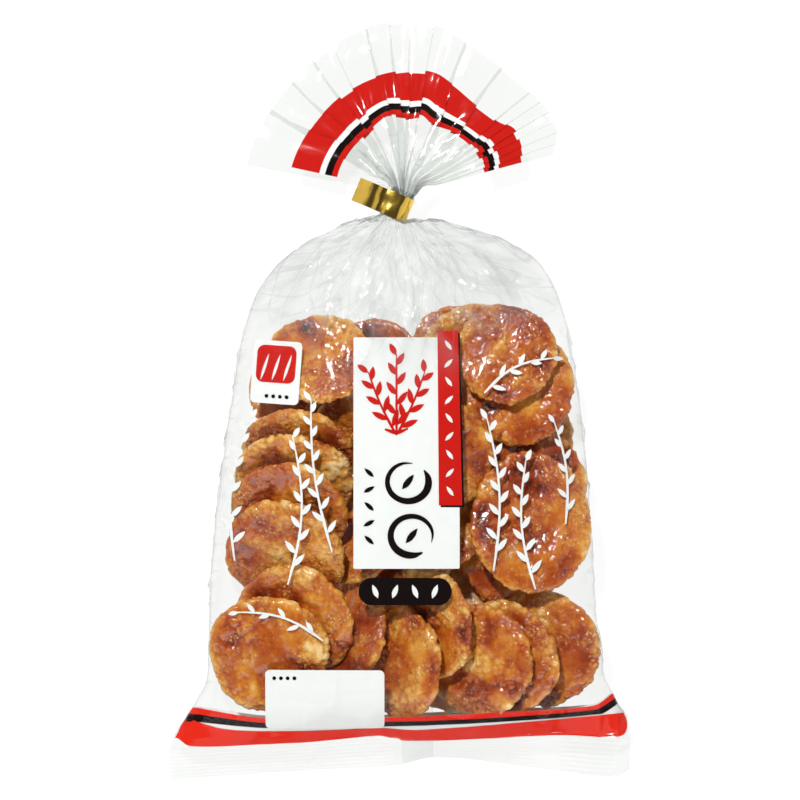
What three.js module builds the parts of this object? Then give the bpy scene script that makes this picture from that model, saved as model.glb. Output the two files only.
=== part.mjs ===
// A clear film bag of soy-glazed rice crackers, gathered at its neck by a gold band and lying on its back.
//
// Millimetres. +X is the bag's right and +Y runs from the bottom seal to the fan of film above the band.
// +Z is up, out of the bag's printed front. The origin is under the middle of the bag, on the surface
// that it lies on.
//
// The bag is one skin of film. It starts at the bottom seal, swells over the crackers, gathers into the
// neck, passes through the band and spreads again as a pleated fan that ends in the top seal. Its solid
// is a stack of closed rings, each with the front film from left to right and the back film returning.

import * as THREE from "three";

const { lerp, clamp, smoothstep, degToRad } = THREE.MathUtils;

// ---- Driving dimensions ----------------------------------------------------------------------------

// The film tube, pressed flat, is this wide, and each of its ends is crimped shut over this depth.
const SEAL_HALF_WIDTH = 100;
const SEAL_DEPTH = 17.7;
// Two layers of film are a tenth of a millimetre thick, drawn this thick so that they are a solid.
const SHEET = 1;
// How high the top of the bottom seal stands, at its middle, and how much lower at its two ends.
const SEAL_HEIGHT = 16;
const SEAL_SAG = 3.2;
const SEAL_TWIST = 1.6;
const SEAL_FOOT_CLEARANCE = 0.1;

// The bottom seal hangs to the table in waves. Distance up the bag, by place across it.
const SEAL_FOOT = [[-100, 0], [-43, 3.8], [0, 6.4], [16, 9.4], [55, 5.6], [93, 1.4], [100, 4]];
const SEAL_TOP = [[-100, 13.4], [-43, 16.6], [-9, 19.6], [8, 17.4], [37, 18.2], [69, 19.8], [100, 17.8]];

// Cross-sections of the filled bag, by distance up it: the middle and half width across, the heights of
// the side edge, the front and the back, and the powers that round the front and the back. A back below
// zero is pressed flat by the table.
const SECTIONS = [
  { up: 18.5, middle: 0, half: 100, edge: 12, front: 16.5, back: 15.5, frontPower: 1, backPower: 1 },
  { up: 27, middle: 1.2, half: 97.6, edge: 13, front: 26.5, back: 8.5, frontPower: 1.3, backPower: 1.3 },
  { up: 35.5, middle: 2, half: 91.3, edge: 15, front: 33.5, back: 2, frontPower: 1, backPower: 0.9 },
  { up: 45.5, middle: 2.4, half: 86.3, edge: 17, front: 38, back: -2, frontPower: 0.8, backPower: 0.6 },
  { up: 61.5, middle: 1.5, half: 84.4, edge: 19, front: 42.5, back: -5, frontPower: 0.65, backPower: 0.5 },
  { up: 96, middle: 1, half: 82.5, edge: 20, front: 45.5, back: -6, frontPower: 0.58, backPower: 0.5 },
  { up: 143.5, middle: 2.2, half: 78, edge: 20, front: 46, back: -6, frontPower: 0.58, backPower: 0.5 },
  { up: 187, middle: 2.6, half: 71.6, edge: 20, front: 44, back: -4, frontPower: 0.6, backPower: 0.5 },
  { up: 208.5, middle: 2.8, half: 65.9, edge: 20.5, front: 40.5, back: 0, frontPower: 0.68, backPower: 0.55 },
  { up: 221.5, middle: 3.9, half: 58.3, edge: 21, front: 37, back: 3, frontPower: 0.75, backPower: 0.7 },
  { up: 230, middle: 4.2, half: 48.6, edge: 21.5, front: 34.5, back: 7, frontPower: 0.8, backPower: 0.8 },
  { up: 237.6, middle: 2.5, half: 33.8, edge: 22, front: 31.5, back: 12, frontPower: 0.9, backPower: 0.9 },
  { up: 242.6, middle: -0.4, half: 19.6, edge: 22, front: 29, back: 15, frontPower: 1, backPower: 1 },
];

// Where crackers lean on the front film from inside, across and up the bag, and how far they push it.
const CRACKER_PUSHES = [
  [-58, 56], [-4, 60], [57, 61], [-56, 100], [56, 112], [-52, 138], [39, 186], [-22, 184], [2, 124],
];
const PUSH_HEIGHT = 2;
const PUSH_RADIUS = 29;

// The neck, gathered inside the band: the band's middle, how far the neck leans right, and its radius.
const NECK = { across: -1.2, up: 248.4, height: 22, lean: degToRad(23), radius: 5.2 };

// The band is a strip of foil, stuck to itself as a tail beside the loop.
const BAND = { width: 10.5, inner: 5.65, thickness: 0.6, tail: 19.2 };
const BAND_CLEARANCE = 0.45;

// The fan: its edges, in degrees to the right of straight up the bag, and the reach of its rim by angle.
const FAN = { left: -79, right: 75, heightAtRim: 16.5 };
const FAN_RIM = [[-79, 68], [-47, 67.5], [-20, 72], [-3, 74.2], [12, 74], [21, 71], [38, 69.5], [66, 72], [75, 68]];
const FAN_REACHES = [8.5, 13, 18, 25, 32, 40, 48, 55, 61, 67, 72];
// Half the thickness of the fan and the height of its pleats, by reach from the neck.
const FAN_THICKNESS = [[5, 4.6], [13, 2.8], [25, 1.5], [43, 0.8], [72, SHEET / 2]];
const FAN_PLEAT = [[5, 0.3], [13, 1], [27, 1.9], [48, 1.6], [72, 0.8]];

// How finely the skin is cut: pieces across each film, and rings up the filled part.
const PIECES_ACROSS = 40;
const BODY_RINGS = 28;
const PLEAT_PIECES = 4;
const GATHER_START = 200;
const GATHER_DEPTH = 1.3;

const FILM = new THREE.MeshStandardMaterial({ color: "#dfe4e3", roughness: 0.2, metalness: 0 });
const GOLD_FOIL = new THREE.MeshStandardMaterial({ color: "#d8ad45", roughness: 0.2, metalness: 1 });

// ---- Curves through named sizes --------------------------------------------------------------------

// The value at place on a smooth curve through the [place, value] pairs.
function through(pairs, place) {
  const at = clamp(place, pairs[0][0], pairs.at(-1)[0]);
  const next = clamp(pairs.findIndex(([p]) => p >= at), 1, pairs.length - 1);
  const slope = (i) => {
    const [before, after] = [pairs[Math.max(i - 1, 0)], pairs[Math.min(i + 1, pairs.length - 1)]];
    return (after[1] - before[1]) / (after[0] - before[0]);
  };
  const [[p0, v0], [p1, v1]] = [pairs[next - 1], pairs[next]];
  const span = p1 - p0;
  const s = (at - p0) / span;
  const rise = s * s * (3 - 2 * s);
  const bend = s * (1 - s) * span * (slope(next - 1) * (1 - s) - slope(next) * s);
  return lerp(v0, v1, rise) + bend;
}

// The cross-section at a distance up the bag, with every size read from a curve through SECTIONS.
function sectionAt(up) {
  const names = Object.keys(SECTIONS[0]).filter((name) => name !== "up");
  const sizes = names.map((name) => [name, through(SECTIONS.map((s) => [s.up, s[name]]), up)]);
  return { up, ...Object.fromEntries(sizes) };
}

// A pleat's height, from -1 to 1, at a place across the film, folded once every PLEAT_PIECES pieces.
function pleat(across) {
  const turn = ((across + 1) / 2) * (PIECES_ACROSS / PLEAT_PIECES);
  return 4 * Math.abs(turn - Math.floor(turn + 0.5)) - 1;
}

// ---- Rings of film ---------------------------------------------------------------------------------
// Each maker takes a place across the film, from -1 at the left edge to 1 at the right, and the face,
// 1 for the front film and -1 for the back. It gives a point of the ring.

// A ring of the bottom seal, from its foot at 0 to its top at 1.
function sealRing(share) {
  return (across, face) => {
    const x = SEAL_HALF_WIDTH * Math.sin((across * Math.PI) / 2);
    const [foot, top] = [through(SEAL_FOOT, x), through(SEAL_TOP, x)];
    const topHeight = SEAL_HEIGHT - SEAL_SAG * across ** 2 - SEAL_TWIST * across;
    const drop = Math.sqrt(Math.max(SEAL_DEPTH ** 2 - (top - foot) ** 2, 0));
    const footHeight = Math.max(topHeight - drop, SHEET / 2 + SEAL_FOOT_CLEARANCE);
    const thickness = Math.abs(across) === 1 ? 0 : SHEET / 2;
    return [x, lerp(foot, top, share), lerp(footHeight, topHeight, share) + face * thickness];
  };
}

// How far the crackers push the front film out.
function pushAt(x, up) {
  const pushes = CRACKER_PUSHES.map(([px, py]) => Math.hypot(x - px, up - py) / PUSH_RADIUS);
  return PUSH_HEIGHT * Math.max(...pushes.map((d) => Math.max(1 - d * d, 0) ** 2));
}

// Keeps a point of the shoulder clear of the band's lower edge, in the hollow where the neck begins.
function belowBand([x, up, z]) {
  const [side, axis] = neckDirections();
  const [dx, dy] = [x - NECK.across, up - NECK.up];
  const along = dx * axis[0] + dy * axis[1];
  const out = dx * side[0] + dy * side[1];
  const fromAxis = Math.hypot(out, z - NECK.height);
  const limit = -BAND.width / 2 - BAND_CLEARANCE + Math.max(fromAxis - BAND.inner - 1.6, 0) * 1.2;
  const down = Math.max(along - limit, 0);
  return [x - down * axis[0], up - down * axis[1], z];
}

// A ring of the filled bag, from the top of the bottom seal to the shoulder.
function bodyRing(up) {
  const s = sectionAt(up);
  const sealShare = 1 - smoothstep(up, SECTIONS[0].up, 65);
  const gather = GATHER_DEPTH * smoothstep(up, GATHER_START, SECTIONS.at(-1).up);
  return (across, face) => {
    const turn = (across * Math.PI) / 2;
    const x = s.middle + s.half * Math.sin(turn);
    const rise = Math.max(Math.cos(turn), 0);
    const bow = (through(SEAL_TOP, x) - SECTIONS[0].up) * sealShare;
    const twist = -SEAL_TWIST * across * sealShare;
    const front = s.edge + (s.front - s.edge) * rise ** s.frontPower + pushAt(x, up) * rise;
    const back = Math.max(s.edge - (s.edge - s.back) * rise ** s.backPower, 0);
    const fold = gather * pleat(across) * rise;
    return belowBand([x, up + bow, (face > 0 ? front + fold : back - fold) + twist * (back > 0)]);
  };
}

// The neck's own directions: across the band, and along the neck.
function neckDirections() {
  const [c, s] = [Math.cos(NECK.lean), Math.sin(NECK.lean)];
  return [[c, -s], [s, c]];
}

// A ring of the neck, at a distance along it from the middle of the band.
function neckRing(along, radius) {
  const [side, axis] = neckDirections();
  return (across, face) => {
    const turn = (across * Math.PI) / 2;
    const out = radius * Math.sin(turn);
    const x = NECK.across + along * axis[0] + out * side[0];
    const up = NECK.up + along * axis[1] + out * side[1];
    return [x, up, NECK.height + face * radius * Math.max(Math.cos(turn), 0)];
  };
}

// A ring of the fan, at a reach from the top of the neck. Near the band the fan isn't fully spread.
function fanRing(reach) {
  const [, axis] = neckDirections();
  const start = BAND.width / 2 + BAND_CLEARANCE;
  const [startX, startUp] = [NECK.across + start * axis[0], NECK.up + start * axis[1]];
  const longest = FAN_REACHES.at(-1);
  const spread = lerp(0.72, 1, smoothstep(reach, 5, 18));
  const middle = (FAN.left + FAN.right) / 2;
  const thickness = through(FAN_THICKNESS, reach);
  const height = lerp(NECK.height, FAN.heightAtRim, reach / longest);
  return (across, face) => {
    const degrees = middle + ((FAN.right - FAN.left) / 2) * across * spread;
    const stretched = reach * lerp(1, through(FAN_RIM, degrees) / longest, reach / longest);
    const turn = degToRad(degrees);
    const fold = through(FAN_PLEAT, reach) * pleat(across) * (1 - across ** 8);
    const closed = Math.abs(across) === 1 ? 0 : thickness;
    return [
      startX + stretched * Math.sin(turn),
      startUp + stretched * Math.cos(turn),
      height + fold + face * closed,
    ];
  };
}

// ---- Solids ----------------------------------------------------------------------------------------

// The distances up the bag of the filled part's rings, closest together near the seal and the shoulder.
function bodyLevels() {
  const [low, high] = [SECTIONS[0].up, SECTIONS.at(-1).up];
  return Array.from({ length: BODY_RINGS }, (_, i) => {
    const share = (i + 1) / BODY_RINGS;
    return lerp(low, high, share - (0.75 * Math.sin(2 * Math.PI * share)) / (2 * Math.PI));
  });
}

// The points of one ring: the front film from left to right, then the back film from right to left.
function pointsOf(ring) {
  const places = Array.from({ length: PIECES_ACROSS + 1 }, (_, i) => -1 + (2 * i) / PIECES_ACROSS);
  return [...places.map((p) => ring(p, 1)), ...places.slice(1, -1).reverse().map((p) => ring(p, -1))];
}

// A closed solid over a stack of rings, with its first and last ring capped from film to film.
function skinOver(rings) {
  const loops = rings.map(pointsOf);
  const around = loops[0].length;
  const index = [];
  for (let r = 0; r < loops.length - 1; r++)
    for (let i = 0; i < around; i++) {
      const [a, b] = [r * around + i, r * around + ((i + 1) % around)];
      index.push(a, b, b + around, a, b + around, a + around);
    }
  const last = (loops.length - 1) * around;
  for (let i = 0; i < PIECES_ACROSS; i++) {
    const [a, b] = [i, i + 1];
    const [c, d] = [(around - i) % around, around - i - 1];
    if (a !== c) index.push(a, c, b, last + a, last + b, last + c);
    if (b !== d) index.push(c, d, b, last + c, last + b, last + d);
  }
  const geometry = new THREE.BufferGeometry();
  geometry.setAttribute("position", new THREE.Float32BufferAttribute(loops.flat(2), 3));
  geometry.setIndex(index);
  geometry.computeVertexNormals();
  return geometry;
}

// The film bag, from the bottom seal to the rim of the fan.
function makeBag() {
  const half = BAND.width / 2;
  const inBand = half + BAND_CLEARANCE / 2;
  return skinOver([
    sealRing(0),
    sealRing(0.5),
    sealRing(1),
    ...bodyLevels().map(bodyRing),
    neckRing(-half - 3 * BAND_CLEARANCE, NECK.radius * 1.5),
    neckRing(-inBand, NECK.radius),
    neckRing(0, NECK.radius),
    neckRing(inBand, NECK.radius),
    ...FAN_REACHES.map(fanRing),
  ]);
}

// The band: a loop round the neck, with its two ends stuck together as a tail to the left of it.
function makeBand() {
  const outer = BAND.inner + BAND.thickness;
  const tailFoot = outer - 2 * BAND.thickness;
  const meetsLoop = Math.sqrt(outer ** 2 - tailFoot ** 2);
  const strip = new THREE.Shape();
  strip.moveTo(-BAND.tail, outer);
  strip.lineTo(-BAND.tail, tailFoot);
  strip.lineTo(-meetsLoop, tailFoot);
  strip.absarc(0, 0, outer, Math.atan2(tailFoot, -meetsLoop), Math.PI * 2.5, false);
  strip.closePath();
  const loop = new THREE.Path();
  loop.absarc(0, 0, BAND.inner, 0, Math.PI * 2, true);
  strip.holes.push(loop);
  const geometry = new THREE.ExtrudeGeometry(strip, {
    depth: BAND.width,
    bevelEnabled: false,
    curveSegments: 40,
  });
  return geometry.translate(0, 0, -BAND.width / 2);
}

// ---- The object ------------------------------------------------------------------------------------

const bag = new THREE.Mesh(makeBag(), FILM);
bag.name = "bag";

// The band's profile stands across the neck, and its width lies along the neck.
const band = new THREE.Mesh(makeBand(), GOLD_FOIL);
band.name = "band";
band.position.set(NECK.across, NECK.up, NECK.height);
band.rotation.set(Math.PI / 2, -NECK.lean, 0);

const crackerBag = new THREE.Group();
crackerBag.name = "cracker_bag";
crackerBag.add(bag, band);

// The origin goes under the middle of the bag's box, on the surface that it lies on.
const box = new THREE.Box3().setFromObject(crackerBag, true);
const middle = box.getCenter(new THREE.Vector3());
crackerBag.position.set(-middle.x, -middle.y, -box.min.z);

export default crackerBag;
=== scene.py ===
"""Dresses the solids of a clear film bag of rice crackers with film, prints, foil and the crackers inside.

Sizes are millimetres. A place is [across, up, high]: across runs to the bag's right from its middle, up runs
from the foot of the bottom seal to the fan of film above the foil band, and high rises from the table that
the bag lies on. add_piece() turns them into Blender's metres and the frame of the solids.
"""

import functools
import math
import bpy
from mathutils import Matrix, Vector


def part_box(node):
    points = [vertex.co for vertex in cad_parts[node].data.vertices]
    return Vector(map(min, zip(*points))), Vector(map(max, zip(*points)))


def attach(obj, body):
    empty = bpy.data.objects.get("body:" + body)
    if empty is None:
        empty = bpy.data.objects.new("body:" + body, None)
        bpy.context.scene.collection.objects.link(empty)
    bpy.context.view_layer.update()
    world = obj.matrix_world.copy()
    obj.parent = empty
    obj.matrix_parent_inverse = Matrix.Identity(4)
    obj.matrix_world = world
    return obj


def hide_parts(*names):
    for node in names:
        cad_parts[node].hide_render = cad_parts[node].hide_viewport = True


bl_info = {
    "name": "Rice Cracker Bag",
    "version": (1, 0, 0),
    "blender": (4, 5, 0),
    "location": "View3D > Sidebar > Cracker Bag",
    "description": "Makes a clear film bag of soy-glazed rice crackers, tied with a gold foil band",
    "category": "Add Mesh",
}

from collections import namedtuple

import bpy
import numpy as np
from mathutils import Euler, Vector
from mathutils.bvhtree import BVHTree

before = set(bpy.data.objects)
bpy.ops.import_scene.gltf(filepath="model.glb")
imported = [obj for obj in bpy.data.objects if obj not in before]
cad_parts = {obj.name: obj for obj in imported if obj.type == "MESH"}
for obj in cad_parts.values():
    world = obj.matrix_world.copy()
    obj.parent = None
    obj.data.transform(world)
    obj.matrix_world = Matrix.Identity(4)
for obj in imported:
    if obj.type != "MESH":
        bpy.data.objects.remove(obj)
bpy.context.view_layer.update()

MM = 0.001
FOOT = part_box("bag")[0][1] / MM  # where up is 0, along the frame's Y

# ---- Sizes of the bag, as the solids have them ------------------------------------------------------

SEAL_HALF_WIDTH = 100
SEAL_DEPTH = 17.7
SEAL_HEIGHT, SEAL_SAG, SEAL_TWIST = 16, 3.2, 1.6
SEAL_FOOT = [(-100, 0), (-43, 3.8), (0, 6.4), (16, 9.4), (55, 5.6), (93, 1.4), (100, 4)]
SEAL_TOP = [(-100, 13.4), (-43, 16.6), (-9, 19.6), (8, 17.4), (37, 18.2), (69, 19.8), (100, 17.8)]
SEAL_REACH = 65  # how far up the bag the seal's bow and twist fade out
SEAL_ROOM = 0.3  # kept under the foot of the seal
FILM_GAP = 0.15  # half the space between the two films where they are sealed together
BACK_LOWEST = 0.1  # where the back film lies on the table

Section = namedtuple("Section", "up middle half edge front back front_power back_power")
SECTIONS = [
    Section(18.5, 0, 100, 12, 16.2, 15.8, 1, 1),
    Section(27, 1.2, 97.6, 13, 26.5, 8.5, 1.3, 1.3),
    Section(35.5, 2, 91.3, 15, 33.5, 2, 1, 0.9),
    Section(45.5, 2.4, 86.3, 17, 38, -2, 0.8, 0.6),
    Section(61.5, 1.5, 84.4, 19, 42.5, -5, 0.65, 0.5),
    Section(96, 1, 82.5, 20, 45.5, -6, 0.58, 0.5),
    Section(143.5, 2.2, 78, 20, 46, -6, 0.58, 0.5),
    Section(187, 2.6, 71.6, 20, 44, -4, 0.6, 0.5),
    Section(208.5, 2.8, 65.9, 20.5, 40.5, 0, 0.68, 0.55),
    Section(221.5, 3.9, 58.3, 21, 37, 3, 0.75, 0.7),
    Section(230, 4.2, 48.6, 21.5, 34.5, 7, 0.8, 0.8),
    Section(237.6, 2.5, 33.8, 22, 31.5, 12, 0.9, 0.9),
    Section(242.6, -0.4, 19.6, 22, 29, 15, 1, 1),
]

NECK_ACROSS, NECK_UP, NECK_HIGH = -1.2, 248.4, 22
NECK_LEAN = math.radians(23)
NECK_SIDE = np.array([math.cos(NECK_LEAN), -math.sin(NECK_LEAN), 0])
NECK_AXIS = np.array([math.sin(NECK_LEAN), math.cos(NECK_LEAN), 0])
NECK_RADIUS = 5.2
NECK_WAVE, NECK_WAVE_DEPTH = 34, 0.12  # radians from the neck's middle to its side, and share of its radius

BAND_WIDTH, BAND_INNER, BAND_THICKNESS, BAND_TAIL = 10.5, 5.65, 0.6, 19.2
BAND_CLEARANCE = 0.45
FAN_OVERLAP = 2  # how far the bag's film and the fan's run into each other at the neck
FAN_FOOT_SHARE = 0.85  # the radius of the fan's foot over the neck's

FAN_LEFT, FAN_RIGHT, FAN_RIM_HIGH, FAN_LONGEST = -79, 75, 16.5, 72
FAN_RIM = [(-79, 68), (-47, 67.5), (-20, 72), (-3, 74.2), (12, 74), (21, 71), (38, 69.5), (66, 72), (75, 68)]

# ---- The pile of crackers ---------------------------------------------------------------------------
# Where each cracker starts, before the pile settles. toward is the way that a leaning cracker's raised edge
# points, in degrees from the bag's right, and stretch lengthens a cracker along it.

Cracker = namedtuple("Cracker", "across up high radius lean toward stretch", defaults=(1,))
CRACKER_THICKNESS = 6.4
CRACKER_ROOM = 0.5  # kept between crackers, and between them and the film
CRACKER_LOWEST = 0.3  # above the back film, which lies on the table
SETTLING_STEPS = 160
EASE = 0.35  # share of each push and twist that one step takes
LONGEST_STEP, LARGEST_SPIN = 1.2, 0.03
PULL_BACK = [0.02, 0.02, 0.005]  # share of the way back to its start that a cracker takes in each step

BOTTOM_ROW = [
    Cracker(60.5, 59, 15, 24.8, 14, 0),
    Cracker(45, 53, 19, 24.2, 34, 0),
    Cracker(34.5, 53, 23, 24.2, 38, 5),
    Cracker(10, 71, 22, 24.2, 33, 340),
    Cracker(-2, 53, 25, 24.6, 34, 350),
]
LEFT_COLUMN = [
    Cracker(-43.5, 143, 20, 24.6, 36, 95),
    Cracker(-45.5, 131, 23, 24.6, 36, 90),
    Cracker(-47.5, 116, 22, 24.8, 34, 92),
    Cracker(-50, 98.5, 22, 26, 32, 85),
    Cracker(-45, 70, 24, 25, 26, 72),
    Cracker(-57, 56, 27, 25.6, 14, 60),
]
TOP_LEFT = [Cracker(-12, 175, 24, 24.6, 14, 60), Cracker(-34, 182.5, 27, 24.2, 44, 265, 0.84)]
TOP_RIGHT = [
    Cracker(33, 181.5, 18, 24.4, 8, 100),
    Cracker(50, 170, 25, 24.4, 10, 300),
    Cracker(45.5, 185, 32, 21.4, 8, 250),
]
RIGHT_SIDE = [
    Cracker(17, 141, 30, 23.5, 14, 160),
    Cracker(13, 115, 26, 24.6, 14, 200),
    Cracker(56, 112.3, 33, 25.2, 7, 270, 1.18),
]
UNSEEN = [
    Cracker(51, 148, 8, 24, 5, 160), Cracker(48, 98, 8, 24.5, 4, 250), Cracker(2, 152, 10, 24, 8, 20),
    Cracker(2, 104, 9, 24.5, 6, 200), Cracker(-40, 168, 9, 23.5, 8, 250), Cracker(56, 128, 20, 24, 8, 250),
    Cracker(26, 184, 8, 22, 6, 90), Cracker(-12, 150, 22, 24, 12, 90), Cracker(22, 88, 10, 24, 10, 0),
    Cracker(-23, 67, 12, 23.5, 10, 0), Cracker(-21, 108, 12, 24, 8, 0), Cracker(24, 52, 8, 22, 8, 350),
    Cracker(64, 56, 6, 21, 4, 0),
]
PILE = BOTTOM_ROW + LEFT_COLUMN + TOP_LEFT + TOP_RIGHT + RIGHT_SIDE + UNSEEN


# ---- Small tools ------------------------------------------------------------------------------------


def linear(hex_colour, alpha=1.0):
    """An sRGB hex colour as the linear colour that Blender's shaders take."""
    values = [int(hex_colour[i : i + 2], 16) / 255 for i in (1, 3, 5)]
    return [v / 12.92 if v <= 0.04045 else ((v + 0.055) / 1.055) ** 2.4 for v in values] + [alpha]


def smoothstep(value, low, high):
    share = np.clip((value - low) / (high - low), 0, 1)
    return share * share * (3 - 2 * share)


def through(pairs, place):
    """The values at place on a smooth curve through the (place, value) pairs."""
    places, values = np.array(pairs, float).T
    last = len(places) - 1
    before, after = np.maximum(np.arange(last + 1) - 1, 0), np.minimum(np.arange(last + 1) + 1, last)
    slopes = (values[after] - values[before]) / (places[after] - places[before])
    at = np.clip(place, places[0], places[-1])
    i = np.clip(np.searchsorted(places, at), 1, last)
    span = places[i] - places[i - 1]
    share = (at - places[i - 1]) / span
    bend = share * (1 - share) * span * (slopes[i - 1] * (1 - share) - slopes[i] * share)
    return values[i - 1] + (values[i] - values[i - 1]) * share**2 * (3 - 2 * share) + bend


def scrambled(corner, seed):
    """A fixed random number from 0 to 1 for each whole-numbered corner."""
    x, y, z = (corner[..., i].astype(np.int64) for i in range(3))
    mixed = (x * 374761393 + y * 668265263 + z * 1442695041 + seed * 974711) & 0xFFFFFFFF
    mixed = ((mixed ^ (mixed >> 13)) * 1274126177) & 0xFFFFFFFF
    return ((mixed ^ (mixed >> 16)) & 0xFFFFFF) / 0xFFFFFF


def noise(points, size, seed):
    """Smooth noise from -1 to 1 whose lumps are about size across."""
    p = np.asarray(points, float) / size + 1000
    low = np.floor(p)
    share = p - low
    share = share * share * share * (share * (share * 6 - 15) + 10)
    total = 0
    for corner in np.ndindex(2, 2, 2):
        weight = np.prod(np.where(corner, share, 1 - share), axis=-1)
        total = total + weight * scrambled(low + corner, seed)
    return total * 2 - 1


def flat_noise(x, y, size, seed):
    return noise(np.stack([x, y, np.full_like(x, 0.37 * size)], axis=-1), size, seed)


def ridges(value):
    """Turns smooth noise into sharp crests, from 0 to 1."""
    return 1 - np.minimum(np.abs(value) * 2.4, 1)


def blisters(points, size, seed):
    """Round domes of uneven size on a jittered grid, from 0 to 1."""
    p = np.asarray(points, float) / size + 1000
    low = np.floor(p)
    height = np.zeros(p.shape[:-1])
    for step in np.ndindex(3, 3, 3):
        corner = low + np.array(step) - 1
        middle = corner + np.stack([scrambled(corner, seed + k) for k in range(3)], axis=-1)
        reach = 0.35 + 0.5 * scrambled(corner, seed + 3)
        away = np.linalg.norm(p - middle, axis=-1) / reach
        height = np.maximum(height, reach * np.sqrt(np.clip(1 - away**2, 0, 1)))
    return height / 0.85


SHARP_EDGE = math.radians(62)


def add_piece(name, points, faces, material, slot_name, attributes=()):
    """A smooth-shaded mesh object from places in millimetres, which rides on the bag."""
    mesh = bpy.data.meshes.new(name)
    placed = np.asarray(points, float).reshape(-1, 3) * MM + [0, FOOT * MM, 0]
    mesh.from_pydata(placed.tolist(), [], [list(map(int, f)) for f in faces])
    mesh.validate()
    for label, values in attributes:
        layer = mesh.attributes.new(label, "FLOAT", "POINT")
        layer.data.foreach_set("value", np.asarray(values, np.float32).ravel())
    mesh.shade_smooth()
    mesh.set_sharp_from_angle(angle=SHARP_EDGE)
    mesh.materials.append(material)
    piece = bpy.data.objects.new(name, mesh)
    bpy.context.scene.collection.objects.link(piece)
    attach(piece, "root")
    return piece


def grid_faces(rows, columns, closed=False, start=0):
    """Quads over a grid of points, whose columns join up again where it is closed."""
    wide = columns if closed else columns - 1
    r, c = np.meshgrid(np.arange(rows - 1), np.arange(wide), indexing="ij")
    right = (c + 1) % columns
    row, next_row = r * columns, (r + 1) * columns
    return np.stack([row + c, row + right, next_row + right, next_row + c], -1).reshape(-1, 4) + start


def end_faces(rows, columns):
    """Faces that close the first and last ring of a closed grid, from its front to its back film."""
    faces = []
    last = (rows - 1) * columns
    for i in range(columns // 2):
        loop = list(dict.fromkeys([i, i + 1, columns - i - 1, (columns - i) % columns]))
        faces.append(loop[::-1])
        faces.append([last + corner for corner in loop])
    return faces


# ---- The film's form --------------------------------------------------------------------------------

FILM_PIECES = 156  # across each film
BODY_ROWS = 176
SEAL_ROWS = 30
THROAT_ROWS = 12


def ring_places():
    """Each point's place across the film, from -1 to 1, and its face: 1 on the front film, -1 on the back."""
    places = np.linspace(-1, 1, FILM_PIECES + 1)
    across = np.concatenate([places, places[-2:0:-1]])
    face = np.concatenate([np.ones(FILM_PIECES + 1), -np.ones(FILM_PIECES - 1)])
    return across, face


def seal_ring(share):
    across, face = ring_places()
    x = SEAL_HALF_WIDTH * np.sin(across * math.pi / 2)
    foot, top = through(SEAL_FOOT, x), through(SEAL_TOP, x)
    top_high = SEAL_HEIGHT - SEAL_SAG * across**2 - SEAL_TWIST * across
    drop = np.sqrt(np.maximum(SEAL_DEPTH**2 - (top - foot) ** 2, 0))
    foot_high = np.maximum(top_high - drop, FILM_GAP + SEAL_ROOM)
    gap = np.where(np.abs(across) == 1, 0, FILM_GAP)
    up, high = foot + (top - foot) * share, foot_high + (top_high - foot_high) * share
    return np.stack([x, up, high + face * gap], -1)


def room(x, up):
    """The heights of the film's edge, front and back at places across and up the bag, as three arrays."""
    s = Section(up, *(through([(t.up, t[i]) for t in SECTIONS], up) for i in range(1, 8)))
    out = np.clip((x - s.middle) / s.half, -1, 1)
    rise = np.sqrt(1 - out**2)
    front = s.edge + (s.front - s.edge) * rise**s.front_power
    back = np.maximum(s.edge - (s.edge - s.back) * rise**s.back_power, BACK_LOWEST)
    return s.edge + 0 * x, front, back


def body_ring(up):
    across, face = ring_places()
    middle, half = (float(through([(t.up, t[i]) for t in SECTIONS], up)) for i in (1, 2))
    seal_share = 1 - smoothstep(up, SECTIONS[0].up, SEAL_REACH)
    x = middle + half * np.sin(across * math.pi / 2)
    bow = (through(SEAL_TOP, x) - SECTIONS[0].up) * seal_share
    twist = -SEAL_TWIST * across * seal_share
    edge, front, back = room(x, np.full_like(x, up))
    high = np.where(np.abs(across) == 1, edge, np.where(face > 0, front, back)) + twist * (back > BACK_LOWEST)
    return below_band(np.stack([x, up + bow, high], -1))


def below_band(points):
    """Keeps the shoulder clear of the foil band's lower edge, in the hollow where the neck begins."""
    away = points - [NECK_ACROSS, NECK_UP, NECK_HIGH]
    along, out = away @ NECK_AXIS, away @ NECK_SIDE
    limit = -BAND_WIDTH / 2 - BAND_CLEARANCE
    limit = limit + np.maximum(np.hypot(out, away[:, 2]) - BAND_INNER - 1.6, 0) * 1.2
    return points - np.maximum(along - limit, 0)[:, None] * NECK_AXIS


def neck_ring(along, radius):
    across, face = ring_places()
    turn = across * math.pi / 2
    pinch = 1 + NECK_WAVE_DEPTH * np.cos(across * NECK_WAVE + face)
    middle = np.array([NECK_ACROSS, NECK_UP, NECK_HIGH]) + along * NECK_AXIS
    out, rise = radius * np.sin(turn) * pinch, radius * np.maximum(np.cos(turn), 0) * face * pinch
    return middle + out[:, None] * NECK_SIDE + rise[:, None] * [0, 0, 1]


def body_levels():
    """Distances up the bag of the filled part's rings, closest together near the seal and the shoulder."""
    share = np.arange(1, BODY_ROWS + 1) / BODY_ROWS
    return SECTIONS[0].up + (SECTIONS[-1].up - SECTIONS[0].up) * (
        share - 0.55 * np.sin(2 * math.pi * share) / (2 * math.pi)
    )


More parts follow.
